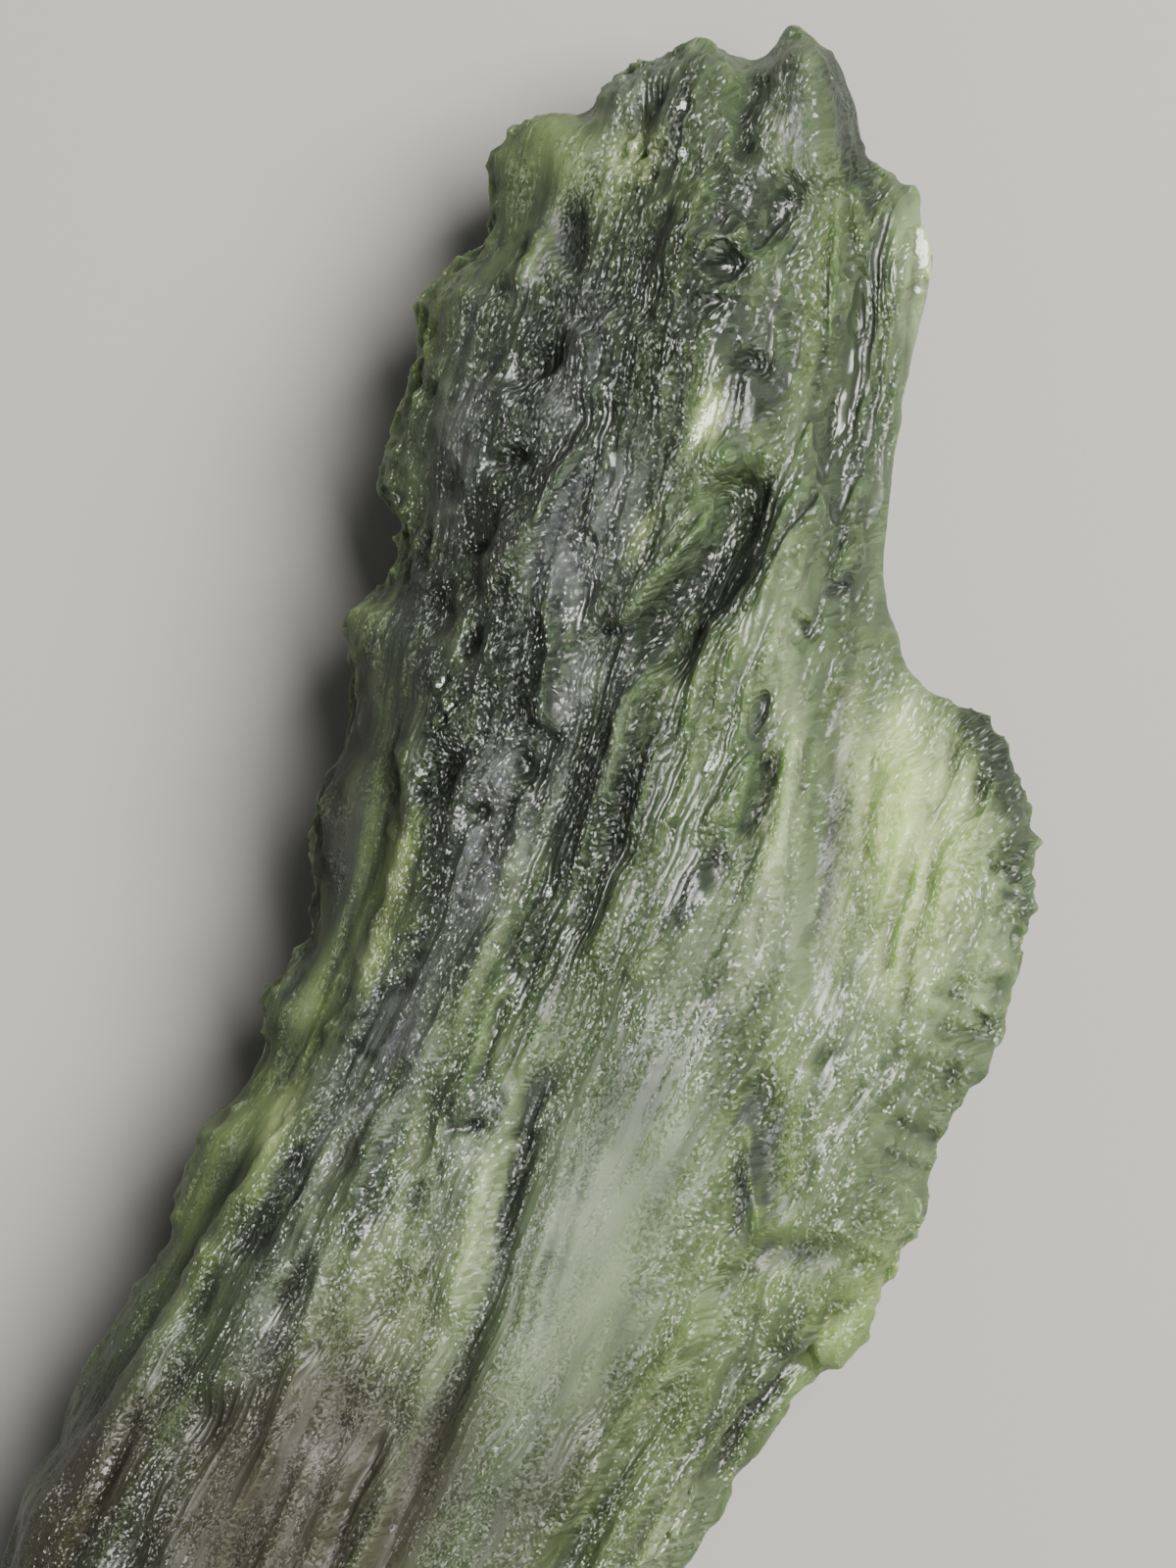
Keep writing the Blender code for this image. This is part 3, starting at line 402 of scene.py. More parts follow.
# walls: the side that lies low, the drop, how far the low ground reaches, and the route
walls = {
    "great groove wall": (-1, 0.46, 1.5, [(7.39, 12.56), (7.03, 11.53), (6.72, 10.39),
        (6.33, 9.22), (5.75, 8.39), (5.25, 7.64), (4.89, 6.67), (4.67, 5.97)]),
    "left shoulder": (-1, 0.28, 1.8, [(-2.39, 8.72), (-2.78, 6.94), (-3, 5.28), (-3.17, 3.61),
        (-3.39, 2.22), (-3.78, 1.22), (-4.19, 0.14), (-4.61, -0.97), (-5.11, -2.11),
        (-5.56, -3.22), (-6.06, -4.39), (-6.67, -5.56), (-7.33, -6.72), (-7.94, -7.83),
        (-8.61, -8.94), (-9.19, -10.06), (-9.89, -11.44), (-10.58, -13.06), (-11.28, -14.5),
        (-11.97, -15.94), (-12.53, -17.5)]),
}

# bowls: place, half-length, half-width, lean of the long axis, and depth
bowls = {
    "brow pit": [(5.75, 17.72, 0.94, 0.39, 88, 0.3)],
    "brow pit, lower": [(5.44, 16.58, 0.67, 0.25, 75, 0.23)],
    "oval pit": [(6.39, 15.06, 0.72, 0.33, 98, 0.36)],
    "dark hollow of the head": [(1.5, 18.75, 1.33, 0.61, 0, 0.24)],
    "slanting hollow": [(0.83, 15.06, 1.00, 0.39, 35, 0.28)],
    "hollow above it": [(1.42, 16.67, 0.56, 0.36, 20, 0.17)],
    "slot of the head": [(3.58, 16.25, 0.56, 0.22, 0, 0.18)],
    "dark pits": [
        (0, 12.31, 0.75, 0.39, 80, 0.33), (-0.81, 9.97, 0.53, 0.31, 85, 0.32),
        (0.14, 14.31, 0.67, 0.33, 10, 0.27), (-2.06, 8.39, 0.94, 0.47, 5, 0.24),
        (-1.11, 7.44, 0.56, 0.33, 20, 0.27), (2.53, 7.78, 0.42, 0.25, 60, 0.23),
        (0.28, 4.08, 0.56, 0.28, 0, 0.36), (-1, 2.86, 0.44, 0.33, 45, 0.32),
        (-1.61, 11.81, 0.61, 0.33, 10, 0.23),
    ],
    "round knob": [(5.47, 12.31, 0.56, 0.53, 0, -0.19)],
    "hollow by the band": [(6.67, 5.61, 0.61, 0.28, 20, 0.23)],
    "low blister": [(0.83, -3.61, 0.61, 0.36, 15, -0.1)],
    "smoky hollow": [(5.44, 1.33, 0.72, 0.47, 20, 0.12)],
    "wing pit": [(12.11, -4.67, 0.47, 0.33, 30, 0.23)],
    "pale scallop": [(7.97, -6.39, 1.17, 0.42, 3, 0.12)],
    "small scallops": [
        (8.44, -3.94, 0.67, 0.33, 20, 0.14), (9.33, -5, 0.72, 0.33, 30, 0.14),
        (10.25, -5.28, 0.61, 0.31, 40, 0.14), (10.53, -4.03, 0.61, 0.31, 30, 0.13),
    ],
    "green basin": [(7.61, -9.28, 1.39, 0.56, 100, 0.1)],
    "green basin, lower": [(5.89, -10.06, 1.22, 0.47, 45, 0.16)],
    "green window": [(9, -11.25, 0.78, 0.33, 60, 0.18)],
    "dark nick": [(9.5, -9.89, 0.39, 0.25, 60, 0.18)],
    "left scallops": [
        (-3.44, -4.39, 0.83, 0.50, 35, 0.16), (-4.83, -6.72, 1.22, 0.53, 28, 0.17),
        (-5.94, -10, 1.22, 0.50, 25, 0.16), (-6.56, -11.53, 0.72, 0.47, 30, 0.14),
        (-7.81, -8.47, 0.94, 0.47, 32, 0.16), (-8.67, -10.61, 1.06, 0.44, 28, 0.14),
        (-9.33, -12.64, 1.00, 0.44, 30, 0.14), (-8.36, -13.61, 1.39, 0.72, 35, 0.16),
        (-10.31, -17.5, 1.28, 0.72, 30, 0.16), (-2.61, -6.11, 0.89, 0.50, 25, 0.16),
        (-2.67, -7.44, 0.67, 0.33, 25, 0.18), (-3.5, -10, 1.17, 0.67, 30, 0.12),
        (-3.08, -13.75, 0.72, 0.39, 25, 0.12), (-4.47, -13.61, 1.00, 0.36, 25, 0.1),
        (-1.97, -3.61, 0.83, 0.39, 30, 0.1),
    ],
    "dark slots": [
        (-1.33, -5.69, 0.67, 0.25, 80, 0.32), (-2.06, -6.83, 0.50, 0.19, 0, 0.23),
        (-5.5, -11.58, 0.39, 0.22, 60, 0.18),
    ],
    "green trench": [(6.67, -6.72, 2.92, 0.94, 2, 0.11)],
}


# how far each point is from a route, how far along it, and on which side
def nearRoute(x, y, route):
    nearest = np.full(len(x), np.inf)
    share = np.zeros(len(x))
    side = np.zeros(len(x))
    legs = len(route) - 1
    for number, (start, end) in enumerate(zip(route, route[1:])):
        run = np.subtract(end, start)
        fromStart = np.stack([x - start[0], y - start[1]])
        along = np.clip((run @ fromStart) / run.dot(run), 0.0, 1.0)
        away = np.hypot(fromStart[0] - along * run[0], fromStart[1] - along * run[1])
        closer = away < nearest
        nearest[closer] = away[closer]
        share[closer] = ((number + along) / legs)[closer]
        turn = run[0] * fromStart[1] - run[1] * fromStart[0]
        side[closer] = np.sign(turn)[closer]
    return nearest, share, side


def aroundRoute(x, y, route, reach):
    corners = np.array(route)
    low = corners.min(axis=0) - reach
    high = corners.max(axis=0) + reach
    return np.nonzero((x > low[0]) & (x < high[0]) & (y > low[1]) & (y < high[1]))[0]


def endTaper(share):
    taper = carving["endTaper"]
    return smoothStep(0.0, taper, share) * smoothStep(0.0, taper, 1.0 - share)


def waver(x, y):
    shift = np.zeros((len(x), 2))
    for size, reach in carving["waver"]:
        for number, (placeX, placeY) in enumerate(zip(x, y)):
            bend = noise.noise_vector((placeX / size, placeY / size, size))
            shift[number, 0] += reach * bend[0]
            shift[number, 1] += reach * bend[1]
    return x + shift[:, 0], y + shift[:, 1]


def carvedRise(x, y):
    rise = np.zeros(len(x))
    x, y = waver(x, y)
    for halfWidth, height, route in strokes.values():
        near = aroundRoute(x, y, route, carving["strokeReach"] * halfWidth)
        away, share, side = nearRoute(x[near], y[near], route)
        ends = endTaper(share)
        width = halfWidth * (carving["endWidth"] + (1.0 - carving["endWidth"]) * ends)
        if height < 0.0:
            profile = np.clip(1.0 - (away / (carving["brink"] * width)) ** 2, 0.0, 1.0)
        else:
            profile = np.exp(-((away / width) ** carving["crestPower"]))
        rise[near] += height * ends * profile
    for lowSide, drop, reach, route in walls.values():
        near = aroundRoute(x, y, route, carving["wallReach"] * reach)
        away, share, side = nearRoute(x[near], y[near], route)
        towards = away * side * lowSide
        low = smoothStep(*carving["wallWidth"], towards) * np.exp(-((towards / reach) ** 2))
        rise[near] -= drop * endTaper(share) * low
    for bowl in [bowl for group in bowls.values() for bowl in group]:
        centreX, centreY, halfLength, halfWidth, lean, depth = bowl
        near = np.nonzero(np.hypot(x - centreX, y - centreY) < halfLength + halfWidth)[0]
        along, across = alongAndAcross(x[near] - centreX, y[near] - centreY, lean)
        inside = 1.0 - (along / halfLength) ** 2 - (across / halfWidth) ** 2
        inside = np.clip(inside, 0.0, 1.0)
        rise[near] -= depth * inside ** carving["bowlPower"]
    return rise


def carve(piece):
    mesh = piece.data
    points = readPoints(mesh)
    x, y, z = points.T
    face = smoothStep(*carving["facing"], readNormals(mesh)[:, 2])
    low, high = carving["room"]
    room = np.clip((z - low) / (high - low), 0.0, 1.0)
    up = face > 0.0
    rise = np.zeros(len(x))
    rise[up] = face[up] * carvedRise(x[up], y[up])
    points[:, 2] += np.where(rise < 0.0, room, 1.0) * rise * carving["strength"]
    writePoints(mesh, points)


# zones of the surface, which steer the etching and the glass; some of them paint shade, sheen and
# glow into its colour
# place, half-length, half-width, lean of the long axis, and strength
zones = {
    "smooth": [
        (2.1, -9.3, 5.6, 1.9, 20, 0.85), (-4.6, 2.8, 5.6, 1.1, 14, 0.9),
        (0.7, 20.1, 2.6, 1.4, 8, 0.7), (10.2, 10.7, 2.5, 0.3, 0, 0.4),
        (7.6, -9.5, 1.7, 0.8, 100, 0.5), (5.9, -10.1, 1.3, 0.6, 45, 0.5),
        (-6.5, -3.7, 3.1, 0.7, 28, 0.8), (-8.3, -7.2, 2.4, 0.7, 30, 0.7),
        (6.4, -6.9, 2.5, 0.4, 0, 0.5), (7.2, -6.9, 2.2, 0.5, 0, 0.5),
        (-10.4, -13.1, 3.9, 0.8, 32, 0.4), (0.9, -3.6, 1.9, 0.7, 20, 0.4),
        (8.9, 2.2, 4.2, 0.4, 5, 0.6), (-6.3, -15.8, 5.3, 2.5, 30, 0.8),
        (-2.7, -15.6, 4.2, 1.4, 27, 0.8), (0.4, -15.6, 3.6, 1.1, 32, 0.6),
    ],
    "sparkle": [
        (7.6, 21.9, 2.6, 1.0, -4, 0.8), (7.3, 2.8, 2.5, 0.5, 6, 1),
        (11.9, 0.8, 4.7, 1.9, 12, 0.8), (-0.6, -1.0, 2.1, 1.2, 25, 1),
        (4.3, -8.5, 2.1, 1.1, 20, 0.7), (-0.9, -8.1, 3.1, 0.7, 20, 1),
        (-3.9, -10.1, 1.9, 1.3, 30, 1), (5.7, -0.6, 1.5, 1.1, 60, 1),
        (2.1, 12.8, 6.4, 2.8, 14, 0.6), (4.3, 10.7, 2.5, 1.0, 35, 1),
        (7.3, -3.3, 3.1, 1.7, 10, 0.7), (2.3, 3.1, 3.1, 1.1, 20, 0.6),
        (3.7, -13.1, 3.3, 0.7, 34, 0.8), (-1.3, 2.5, 2.2, 1.4, 10, 0.9),
        (-6.3, -10.0, 1.9, 0.9, 28, 0.7), (-4.1, -5.0, 2.5, 1.0, 32, 0.6),
        (9.3, 9.2, 2.5, 0.7, 10, 0.6), (4.6, 16.9, 1.7, 1.4, 0, 0.6),
        (8.9, 22.4, 2.5, 1.0, -12, 1), (10.4, 2.2, 3.3, 1.4, 8, 1), (3.2, 20.8, 1.1, 0.8, 20, 1),
        (-8.4, -14.2, 2.2, 0.8, 34, 0.2),
    ],
    "lined": [
        (9.0, 13.9, 7.5, 1.7, 4, 1), (3.4, 13.9, 7.2, 3.1, 12, 0.7), (5.2, 5.3, 4.2, 1.9, 22, 1),
        (2.3, 1.9, 5.0, 1.7, 20, 0.8), (-5.4, -13.6, 6.7, 3.6, 30, 0.6),
        (11.2, 0.8, 3.9, 1.7, 12, 0.7), (5.4, 22.5, 2.5, 1.7, 15, 0.6),
        (0.9, -15.3, 5.6, 1.7, 32, 0.4),
    ],
    "ribbed": [
        (6.0, 20.0, 9.0, 6.0, 0, 0.6), (9.0, 13.9, 8.3, 2.2, 4, 1),
        (6.0, 8.1, 8.1, 5.0, 14, 0.9), (-3.0, -8.0, 9.0, 5.0, 28, 0.8),
        (-9.0, -19.0, 8.1, 7.0, 32, 0.8), (13.0, 2.0, 6.0, 3.5, 12, 0.5),
        (4.0, -19.0, 6.0, 5.0, 32, 0.7), (8.5, -10.0, 5.0, 3.0, 28, 0.6),
    ],
    "pitted": [
        (1.0, 12.8, 8.1, 4.2, 12, 1), (-0.5, 5.0, 5.0, 3.1, 14, 0.9),
        (4.3, 17.5, 4.4, 3.3, 0, 1), (12.5, -1.0, 4.0, 2.5, 14, 0.5),
        (-3.5, -6.1, 6.9, 3.3, 28, 0.5),
    ],
    # pale frost, partly the etched glass's own and partly painted sheen on faces turned to the key
    # light
    "frostAndSheen": [
        (-0.6, -1.0, 2.2, 1.2, 25, 0.14), (5.9, -0.6, 2.2, 1.7, 60, 0.21),
        (7.3, -3.1, 3.6, 1.9, 10, 0.28), (-3.9, -10.0, 2.5, 1.7, 30, 0.45),
        (3.4, -15.3, 5.0, 1.7, 32, 0.11), (11.4, 18.4, 1.1, 0.4, 0, 0.9),
        (6.9, 8.6, 2.5, 0.8, 25, 0.11), (10.2, 16.1, 2.5, 0.4, 0, 0.28),
        (7.4, 7.8, 1.7, 0.4, 15, 0.42), (0.8, 7.2, 1.4, 0.3, 8, 0.21),
        (2.6, 5.0, 1.9, 0.4, 14, 0.25), (6.4, -11.1, 1.4, 0.8, 60, 0.21),
        (10.4, 2.8, 2.5, 0.9, 8, 1.3), (6.4, -1.0, 1.9, 0.7, 20, 0.66),
        (7.2, 2.8, 3.1, 0.5, 6, 0.82), (-2.6, 5.7, 1.0, 0.4, 0, 0.57),
        (-0.3, 0.8, 2.2, 0.4, 14, 0.57), (-2.9, -10.4, 1.7, 0.8, 30, 0.8),
        (-5.0, -6.7, 1.4, 0.4, 28, 0.57), (-2.4, -5.8, 0.9, 0.4, 20, 0.49),
        (7.3, 21.2, 1.9, 0.4, -5, 0.49), (3.9, -17.2, 1.7, 0.6, 30, 0.57),
        (3.6, -13.8, 2.8, 0.4, 33, 0.33), (9.8, -12.6, 1.1, 0.4, 50, 0.41),
        (-0.9, -7.9, 3.6, 0.8, 20, 0.75), (11.1, 17.9, 1.7, 0.6, 0, 0.7),
        (5.2, 13.1, 0.9, 0.4, 25, 0.4), (2.3, -9.3, 5.6, 2.4, 20, 0.15),
        (8.9, -0.8, 3.3, 1.1, 5, 0.4), (3.2, 20.8, 1.0, 0.6, 20, 0.6),
        (11.2, 1.4, 4.2, 1.3, 12, 0.85), (12.8, 0.0, 2.8, 1.1, 8, 0.45),
    ],
    # painted shade, in the glass's own dark green, on pits and on slopes turned away from the key
    # light
    "shadeAndDarkGlass": [
        (2.1, 2.2, 5.0, 1.4, 20, 0.8), (-2.4, 8.1, 4.4, 1.7, 12, 0.9),
        (-3.5, -1.9, 3.1, 1.1, 28, 0.7), (-6.6, -7.9, 3.1, 1.1, 30, 0.6),
        (-7.7, -13.6, 3.6, 1.7, 32, 0.7), (0.9, 18.8, 1.7, 0.8, 0, 0.8),
        (9.3, 14.2, 5.6, 1.2, 3, 0.75), (5.4, 22.2, 2.2, 1.7, 0, 0.5),
        (-5.4, -15.8, 3.3, 2.5, 30, 0.7), (-0.2, -16.9, 3.3, 1.9, 32, 0.4),
        (6.8, 4.7, 1.4, 0.4, 10, 0.8), (6.8, -13.1, 2.5, 0.8, 35, 0.6),
        (9.0, 22.1, 2.5, 0.9, -14, 0.7), (-11.0, -16.7, 3.1, 2.2, 30, 1),
        (9.3, 10.3, 2.5, 0.8, 5, 0.6), (-1.3, 16.7, 3.1, 1.7, 25, 0.6),
        (-4.5, -16.7, 2.8, 1.7, 30, 0.7), (-0.7, -16.7, 3.1, 1.4, 32, 0.5),
        (0.0, -7.5, 2.5, 0.3, 12, 0.7), (-1.6, -12.8, 2.5, 0.3, 24, 0.5),
        (10.5, 1.7, 2.5, 0.2, 10, 0.6), (11.4, 0.7, 2.2, 0.2, 14, 0.6),
        (13.7, 1.4, 1.4, 0.4, -5, 0.4), (-0.7, -5.1, 0.7, 0.6, 0, 0.8),
        (2.3, -0.8, 1.7, 0.6, 30, 0.3), (6.0, 9.4, 2.2, 0.7, 32, 0.9),
        (-4.5, 2.8, 3.6, 0.5, 12, 0.9), (-4.8, -9.6, 0.9, 0.4, 25, 0.4),
        (7.3, 19.4, 1.4, 0.8, 0, 0.4), (4.8, 9.2, 1.9, 0.8, 32, 0.8),
        (4.8, 17.2, 3.1, 2.8, 0, 1), (6.3, 14.6, 1.0, 0.9, 0, 1),
        (9.2, 22.2, 2.4, 0.6, -14, 1.4), (4.6, 21.7, 1.7, 1.7, 10, 0.8),
        (5.8, 19.7, 1.7, 1.4, 0, 0.9), (1.1, 10.0, 1.7, 0.8, 20, 1.4),
        (3.3, 7.3, 1.4, 0.7, 25, 1.3), (-0.6, 6.4, 3.6, 0.9, 10, 1.25),
        (4.8, 0.8, 1.4, 0.4, 32, 1.2), (0.4, -5.3, 1.4, 0.6, 20, 0.7),
        (-3.9, -7.4, 1.7, 0.5, 26, 0.9), (13.4, 4.2, 1.7, 0.6, -22, 1),
        (9.0, 3.9, 3.6, 0.3, 5, 1.2), (-1.6, -4.9, 1.1, 0.6, 30, 0.8),
        (13.5, 4.3, 1.7, 0.6, -22, 1), (0.9, 12.8, 7.2, 3.1, 14, 1.1),
        (-0.7, 4.7, 5.6, 2.2, 15, 1.1), (8.6, -11.4, 1.7, 0.6, 40, 0.4),
        (7.3, -9.6, 1.7, 0.8, 100, 0.6), (1.4, 10.0, 1.4, 0.7, 20, 1.4),
        (3.7, -4.4, 1.7, 0.4, 25, 0.5), (6.5, 14.7, 1.1, 0.9, 0, 1.2),
        (1.3, 9.4, 1.7, 0.6, 14, 1.4), (-4.9, 3.9, 6.1, 0.8, 13, 1),
        (10.5, 17.5, 2.2, 0.2, 2, 0.5), (-4.9, -15.0, 2.8, 1.4, 30, 0.8),
        (-12.1, -17.5, 2.5, 1.4, 30, 1), (-10.2, -16.9, 3.1, 1.9, 30, 1.1),
        (0.1, 21.7, 1.4, 1.0, 0, 0.3), (13.3, 4.7, 1.7, 0.9, -24, 1.2),
        (14.1, 1.4, 1.9, 0.6, -4, 0.5), (3.4, -4.0, 2.2, 0.7, 30, 0.5),
        (3.2, 3.6, 2.5, 1.1, 14, 0.5), (6.6, -6.4, 3.1, 0.8, 2, 0.85),
        (5.9, -2.2, 1.7, 1.1, 30, 0.35), (3.7, -2.2, 1.7, 1.1, 30, 0.3),
    ],
    "olive": [
        (-4.6, 3.9, 6.7, 1.4, 12, 1), (-6.3, -3.3, 3.6, 1.2, 28, 0.8),
        (-8.2, -7.2, 3.3, 1.4, 30, 0.7), (6.8, -6.9, 3.1, 0.9, 2, 1),
        (7.3, -9.7, 1.9, 0.9, 100, 0.9), (9.3, -11.7, 3.1, 1.4, 40, 0.7),
        (-3.5, 1.1, 2.2, 1.1, 15, 0.8), (-6.6, -5.7, 1.7, 0.8, 30, 0.9),
        (0.9, -17.5, 3.1, 1.7, 32, 0.3), (-5.4, -15.3, 4.7, 3.3, 30, 0.35),
        (-2.5, 16.7, 3.3, 0.8, 20, 0.8), (-2.9, 10.3, 1.4, 0.8, 0, 0.6),
        (4.8, 16.7, 2.5, 1.7, 0, 0.3), (3.2, 18.9, 2.8, 1.7, 0, 0.3),
        (4.6, -12.5, 3.3, 1.4, 34, 0.3), (0.7, 20.1, 2.8, 1.7, 8, 0.65),
        (9.0, 16.7, 3.6, 1.1, 4, 0.2),
    ],
    "ragged": [
        (-1.6, 14.7, 8.3, 2.2, 15, 1), (14.1, 1.4, 5.8, 1.9, -4, 1),
        (9.8, -10.3, 6.9, 1.9, 35, 1), (-5.4, 0.8, 8.3, 1.7, 18, 0.8),
        (3.2, 23.9, 2.5, 1.4, 90, 0.8), (-9.6, -8.9, 5.6, 1.4, 30, 0.5),
        (10.5, 20.6, 1.1, 1.1, 0, 1),
    ],
    "glow": [
        (11.2, 0.8, 1.9, 0.7, 14, 0.6), (12.1, 1.4, 1.7, 0.7, 16, 0.4),
        (-6.5, -5.6, 0.9, 0.3, 32, 0.9), (-3.2, 1.4, 0.9, 0.3, 15, 0.7),
        (-3.9, -1.1, 0.8, 0.3, 20, 0.5), (9.3, 4.7, 1.7, 0.4, 5, 0.3),
        (9.0, 0.8, 2.5, 0.3, 5, 0.25), (3.4, 10.3, 0.8, 0.2, 30, 0.3),
        (5.2, 13.5, 0.7, 0.3, 20, 0.6), (3.3, 21.1, 0.7, 0.6, 30, 0.5),
        (11.2, -10.0, 1.1, 0.3, 30, 0.4), (11.1, 2.2, 3.1, 0.9, 9, 0.3),
        (10.5, 3.3, 2.2, 0.8, 8, 1), (11.2, 1.4, 3.1, 1.2, 9, 0.45),
        (-0.6, 21.2, 1.1, 0.4, 10, 0.1), (-4.4, 8.1, 0.7, 0.2, 0, 0.2),
        (-3.9, 6.7, 0.7, 0.2, 10, 0.15), (9.3, -11.5, 1.4, 0.4, 45, 0.25),
    ],
    # painted shade in dark brown, mostly at the lower end, warm as of light reflected there
    "brownShade": [
        (4.6, -15.0, 3.3, 0.8, 32, 0.3), (-4.9, 3.1, 3.6, 0.6, 12, 0.4),
        (-12.9, -18.1, 1.7, 1.1, 30, 0.6), (-6.3, -15.6, 5.3, 3.1, 30, 1),
        (-2.7, -15.8, 3.9, 1.1, 27, 0.9), (-4.6, -12.2, 2.2, 1.1, 30, 0.8),
        (0.9, -13.1, 2.5, 0.8, 26, 0.25), (-11.8, -15.8, 4.2, 1.1, 34, 1),
        (0.9, -15.8, 3.3, 1.3, 32, 0.6), (3.4, -16.9, 2.2, 1.4, 32, 0.35),
        (4.8, -15.8, 3.6, 1.1, 32, 0.4),
    ],
    # painted silvery sheen, standing in for many small glints
    "silverSheen": [
        (-4.1, -4.7, 3.1, 1.1, 32, 0.6), (-6.3, -10.0, 1.9, 0.8, 28, 0.45),
        (-0.7, 1.9, 2.5, 0.9, 14, 0.68), (-1.6, 12.8, 1.9, 0.8, 10, 0.45),
        (2.3, 10.3, 2.5, 1.4, 30, 0.38), (1.8, 5.3, 2.8, 0.8, 14, 0.45),
        (-1.6, -7.2, 2.5, 0.8, 20, 0.3), (0.9, -8.1, 3.1, 1.4, 20, 0.3),
        (-2.4, -1.9, 1.9, 0.7, 25, 0.38), (3.2, 22.8, 1.7, 1.1, 20, 0.3),
        (6.2, -0.6, 1.7, 1.1, 60, 0.3), (7.4, 21.7, 2.2, 0.6, -6, 0.5),
        (1.6, 15.0, 2.2, 0.7, 12, 0.35), (-0.7, 0.8, 1.7, 0.6, 14, 0.5),
    ],
}

zoneEdge = {
    "fade": 0.7,
    "power": 1.5,              # higher makes a zone's edge firmer
}


def zoneMask(x, y, name):
    mask = np.zeros(len(x))
    for centreX, centreY, halfLength, halfWidth, lean, strength in zones[name]:
        along, across = alongAndAcross(x - centreX, y - centreY, lean)
        reach = (along / halfLength) ** 2 + (across / halfWidth) ** 2
        mask = np.maximum(mask, strength * np.exp(-zoneEdge["fade"] * reach ** zoneEdge["power"]))
    return mask


# etching, the natural relief of fine ribs and pits, as inputs of its Geometry Nodes tree

etching = {
    "Rib Width": 0.8,          # mm across the flow
    "Rib Length": 4.0,         # mm along the flow
    "Rib Depth": 0.24,
    "Fine Rib Width": 0.48,
    "Fine Rib Length": 2.2,
    "Fine Rib Depth": 0.16,
    "Pit Width": 0.8,
    "Pit Length": 1.2,
    "Pit Depth": 0.26,
    "Small Pit Width": 0.5,
    "Small Pit Depth": 0.16,
    "Warp": 0.2,               # mm that the lines wander
    "Seed": 4.0,
}

etchingShares = {
    "ragged": 2.5,             # how much deeper the pits are along a ragged margin
    "strongRise": 0.25,        # mm of carved rise that keeps the etching off
    "besideCarving": 0.25,
    "smooth": 0.85,            # how much of the etching a smooth zone takes away
    "sideRibs": 0.7,           # strength of the ribs on its sides and underside
    "facingDown": (0.2, 0.7),
    "nearFloor": (0.05, 0.7),  # mm, heights below which the underside stays plain
    "facingUp": (-0.3, 0.3),   # how much a surface has to face up to follow the zones
    "upright": (0.3, 0.75),    # how level a side may get before it stops being one
    "wander": 0.45,            # per mm, scale of the noise that bends the lines
    "wanderDetail": 2.0,
    "wanderReach": 4.0,        # in Warps
    "bowlPower": 2.0,
    "bowlLevel": 0.3,          # height in a bowl's profile that stays where it was
    "leastPits": 0.2,          # share of the small pits outside the pitted zones
    "shifts": {"Rib": 0.0, "Pit": 3.0, "Fine Rib": 7.0, "Small Pit": 11.0},  # places in the noise
}


def storeEtchingMasks(piece):
    mesh = piece.data
    normals = readNormals(mesh)
    x, y, z = readPoints(mesh).T
    facingDown = smoothStep(*etchingShares["facingDown"], -normals[:, 2])
    nearFloor = 1.0 - smoothStep(*etchingShares["nearFloor"], z)
    keep = 1.0 - facingDown * nearFloor
    face = smoothStep(*etchingShares["facingUp"], normals[:, 2])
    carved = np.clip(np.abs(carvedRise(x, y)) / etchingShares["strongRise"], 0.0, 1.0)
    rough = 1.0 - etchingShares["smooth"] * zoneMask(x, y, "smooth")
    rough *= 1.0 - etchingShares["besideCarving"] * carved
    ribbed = zoneMask(x, y, "ribbed") * rough
    pitted = zoneMask(x, y, "pitted") * rough
    side = 1.0 - smoothStep(*etchingShares["upright"], np.abs(normals[:, 2]))
    ragged = etchingShares["ragged"] * side * zoneMask(x, y, "ragged")
    sideRibs = (1.0 - face) * etchingShares["sideRibs"]
    writeAttribute(mesh, "ribbed", keep * (face * ribbed + sideRibs))
    writeAttribute(mesh, "pitted", keep * np.maximum(face * pitted, ragged))
    writeAttribute(mesh, "etched", keep * (face * rough + 1.0 - face))


def inputSocket(tree, name, value, kind="NodeSocketFloat"):
    socket = tree.interface.new_socket(name, in_out="INPUT", socket_type=kind)
    if value is not None:
        socket.default_value = value


# functions that add nodes to a tree, with their inputs linked or set
def nodeMaker(tree):
    def make(kind, inputs=None, **settings):
        node = tree.nodes.new(kind)
        for key, value in settings.items():
            setattr(node, key, value)
        for key, value in (inputs or {}).items():
            if isinstance(value, bpy.types.NodeSocket):
                tree.links.new(value, node.inputs[key])
            else:
                node.inputs[key].default_value = value
        return node

    def math(operation, first, second=0.0, third=0.0):
        return make("ShaderNodeMath", {0: first, 1: second, 2: third},
                    operation=operation).outputs[0]

    def vector(operation, first, second, result=0):
        place = "Scale" if operation == "SCALE" else 1
        return make("ShaderNodeVectorMath", {0: first, place: second},
                    operation=operation).outputs[result]

    return make, math, vector


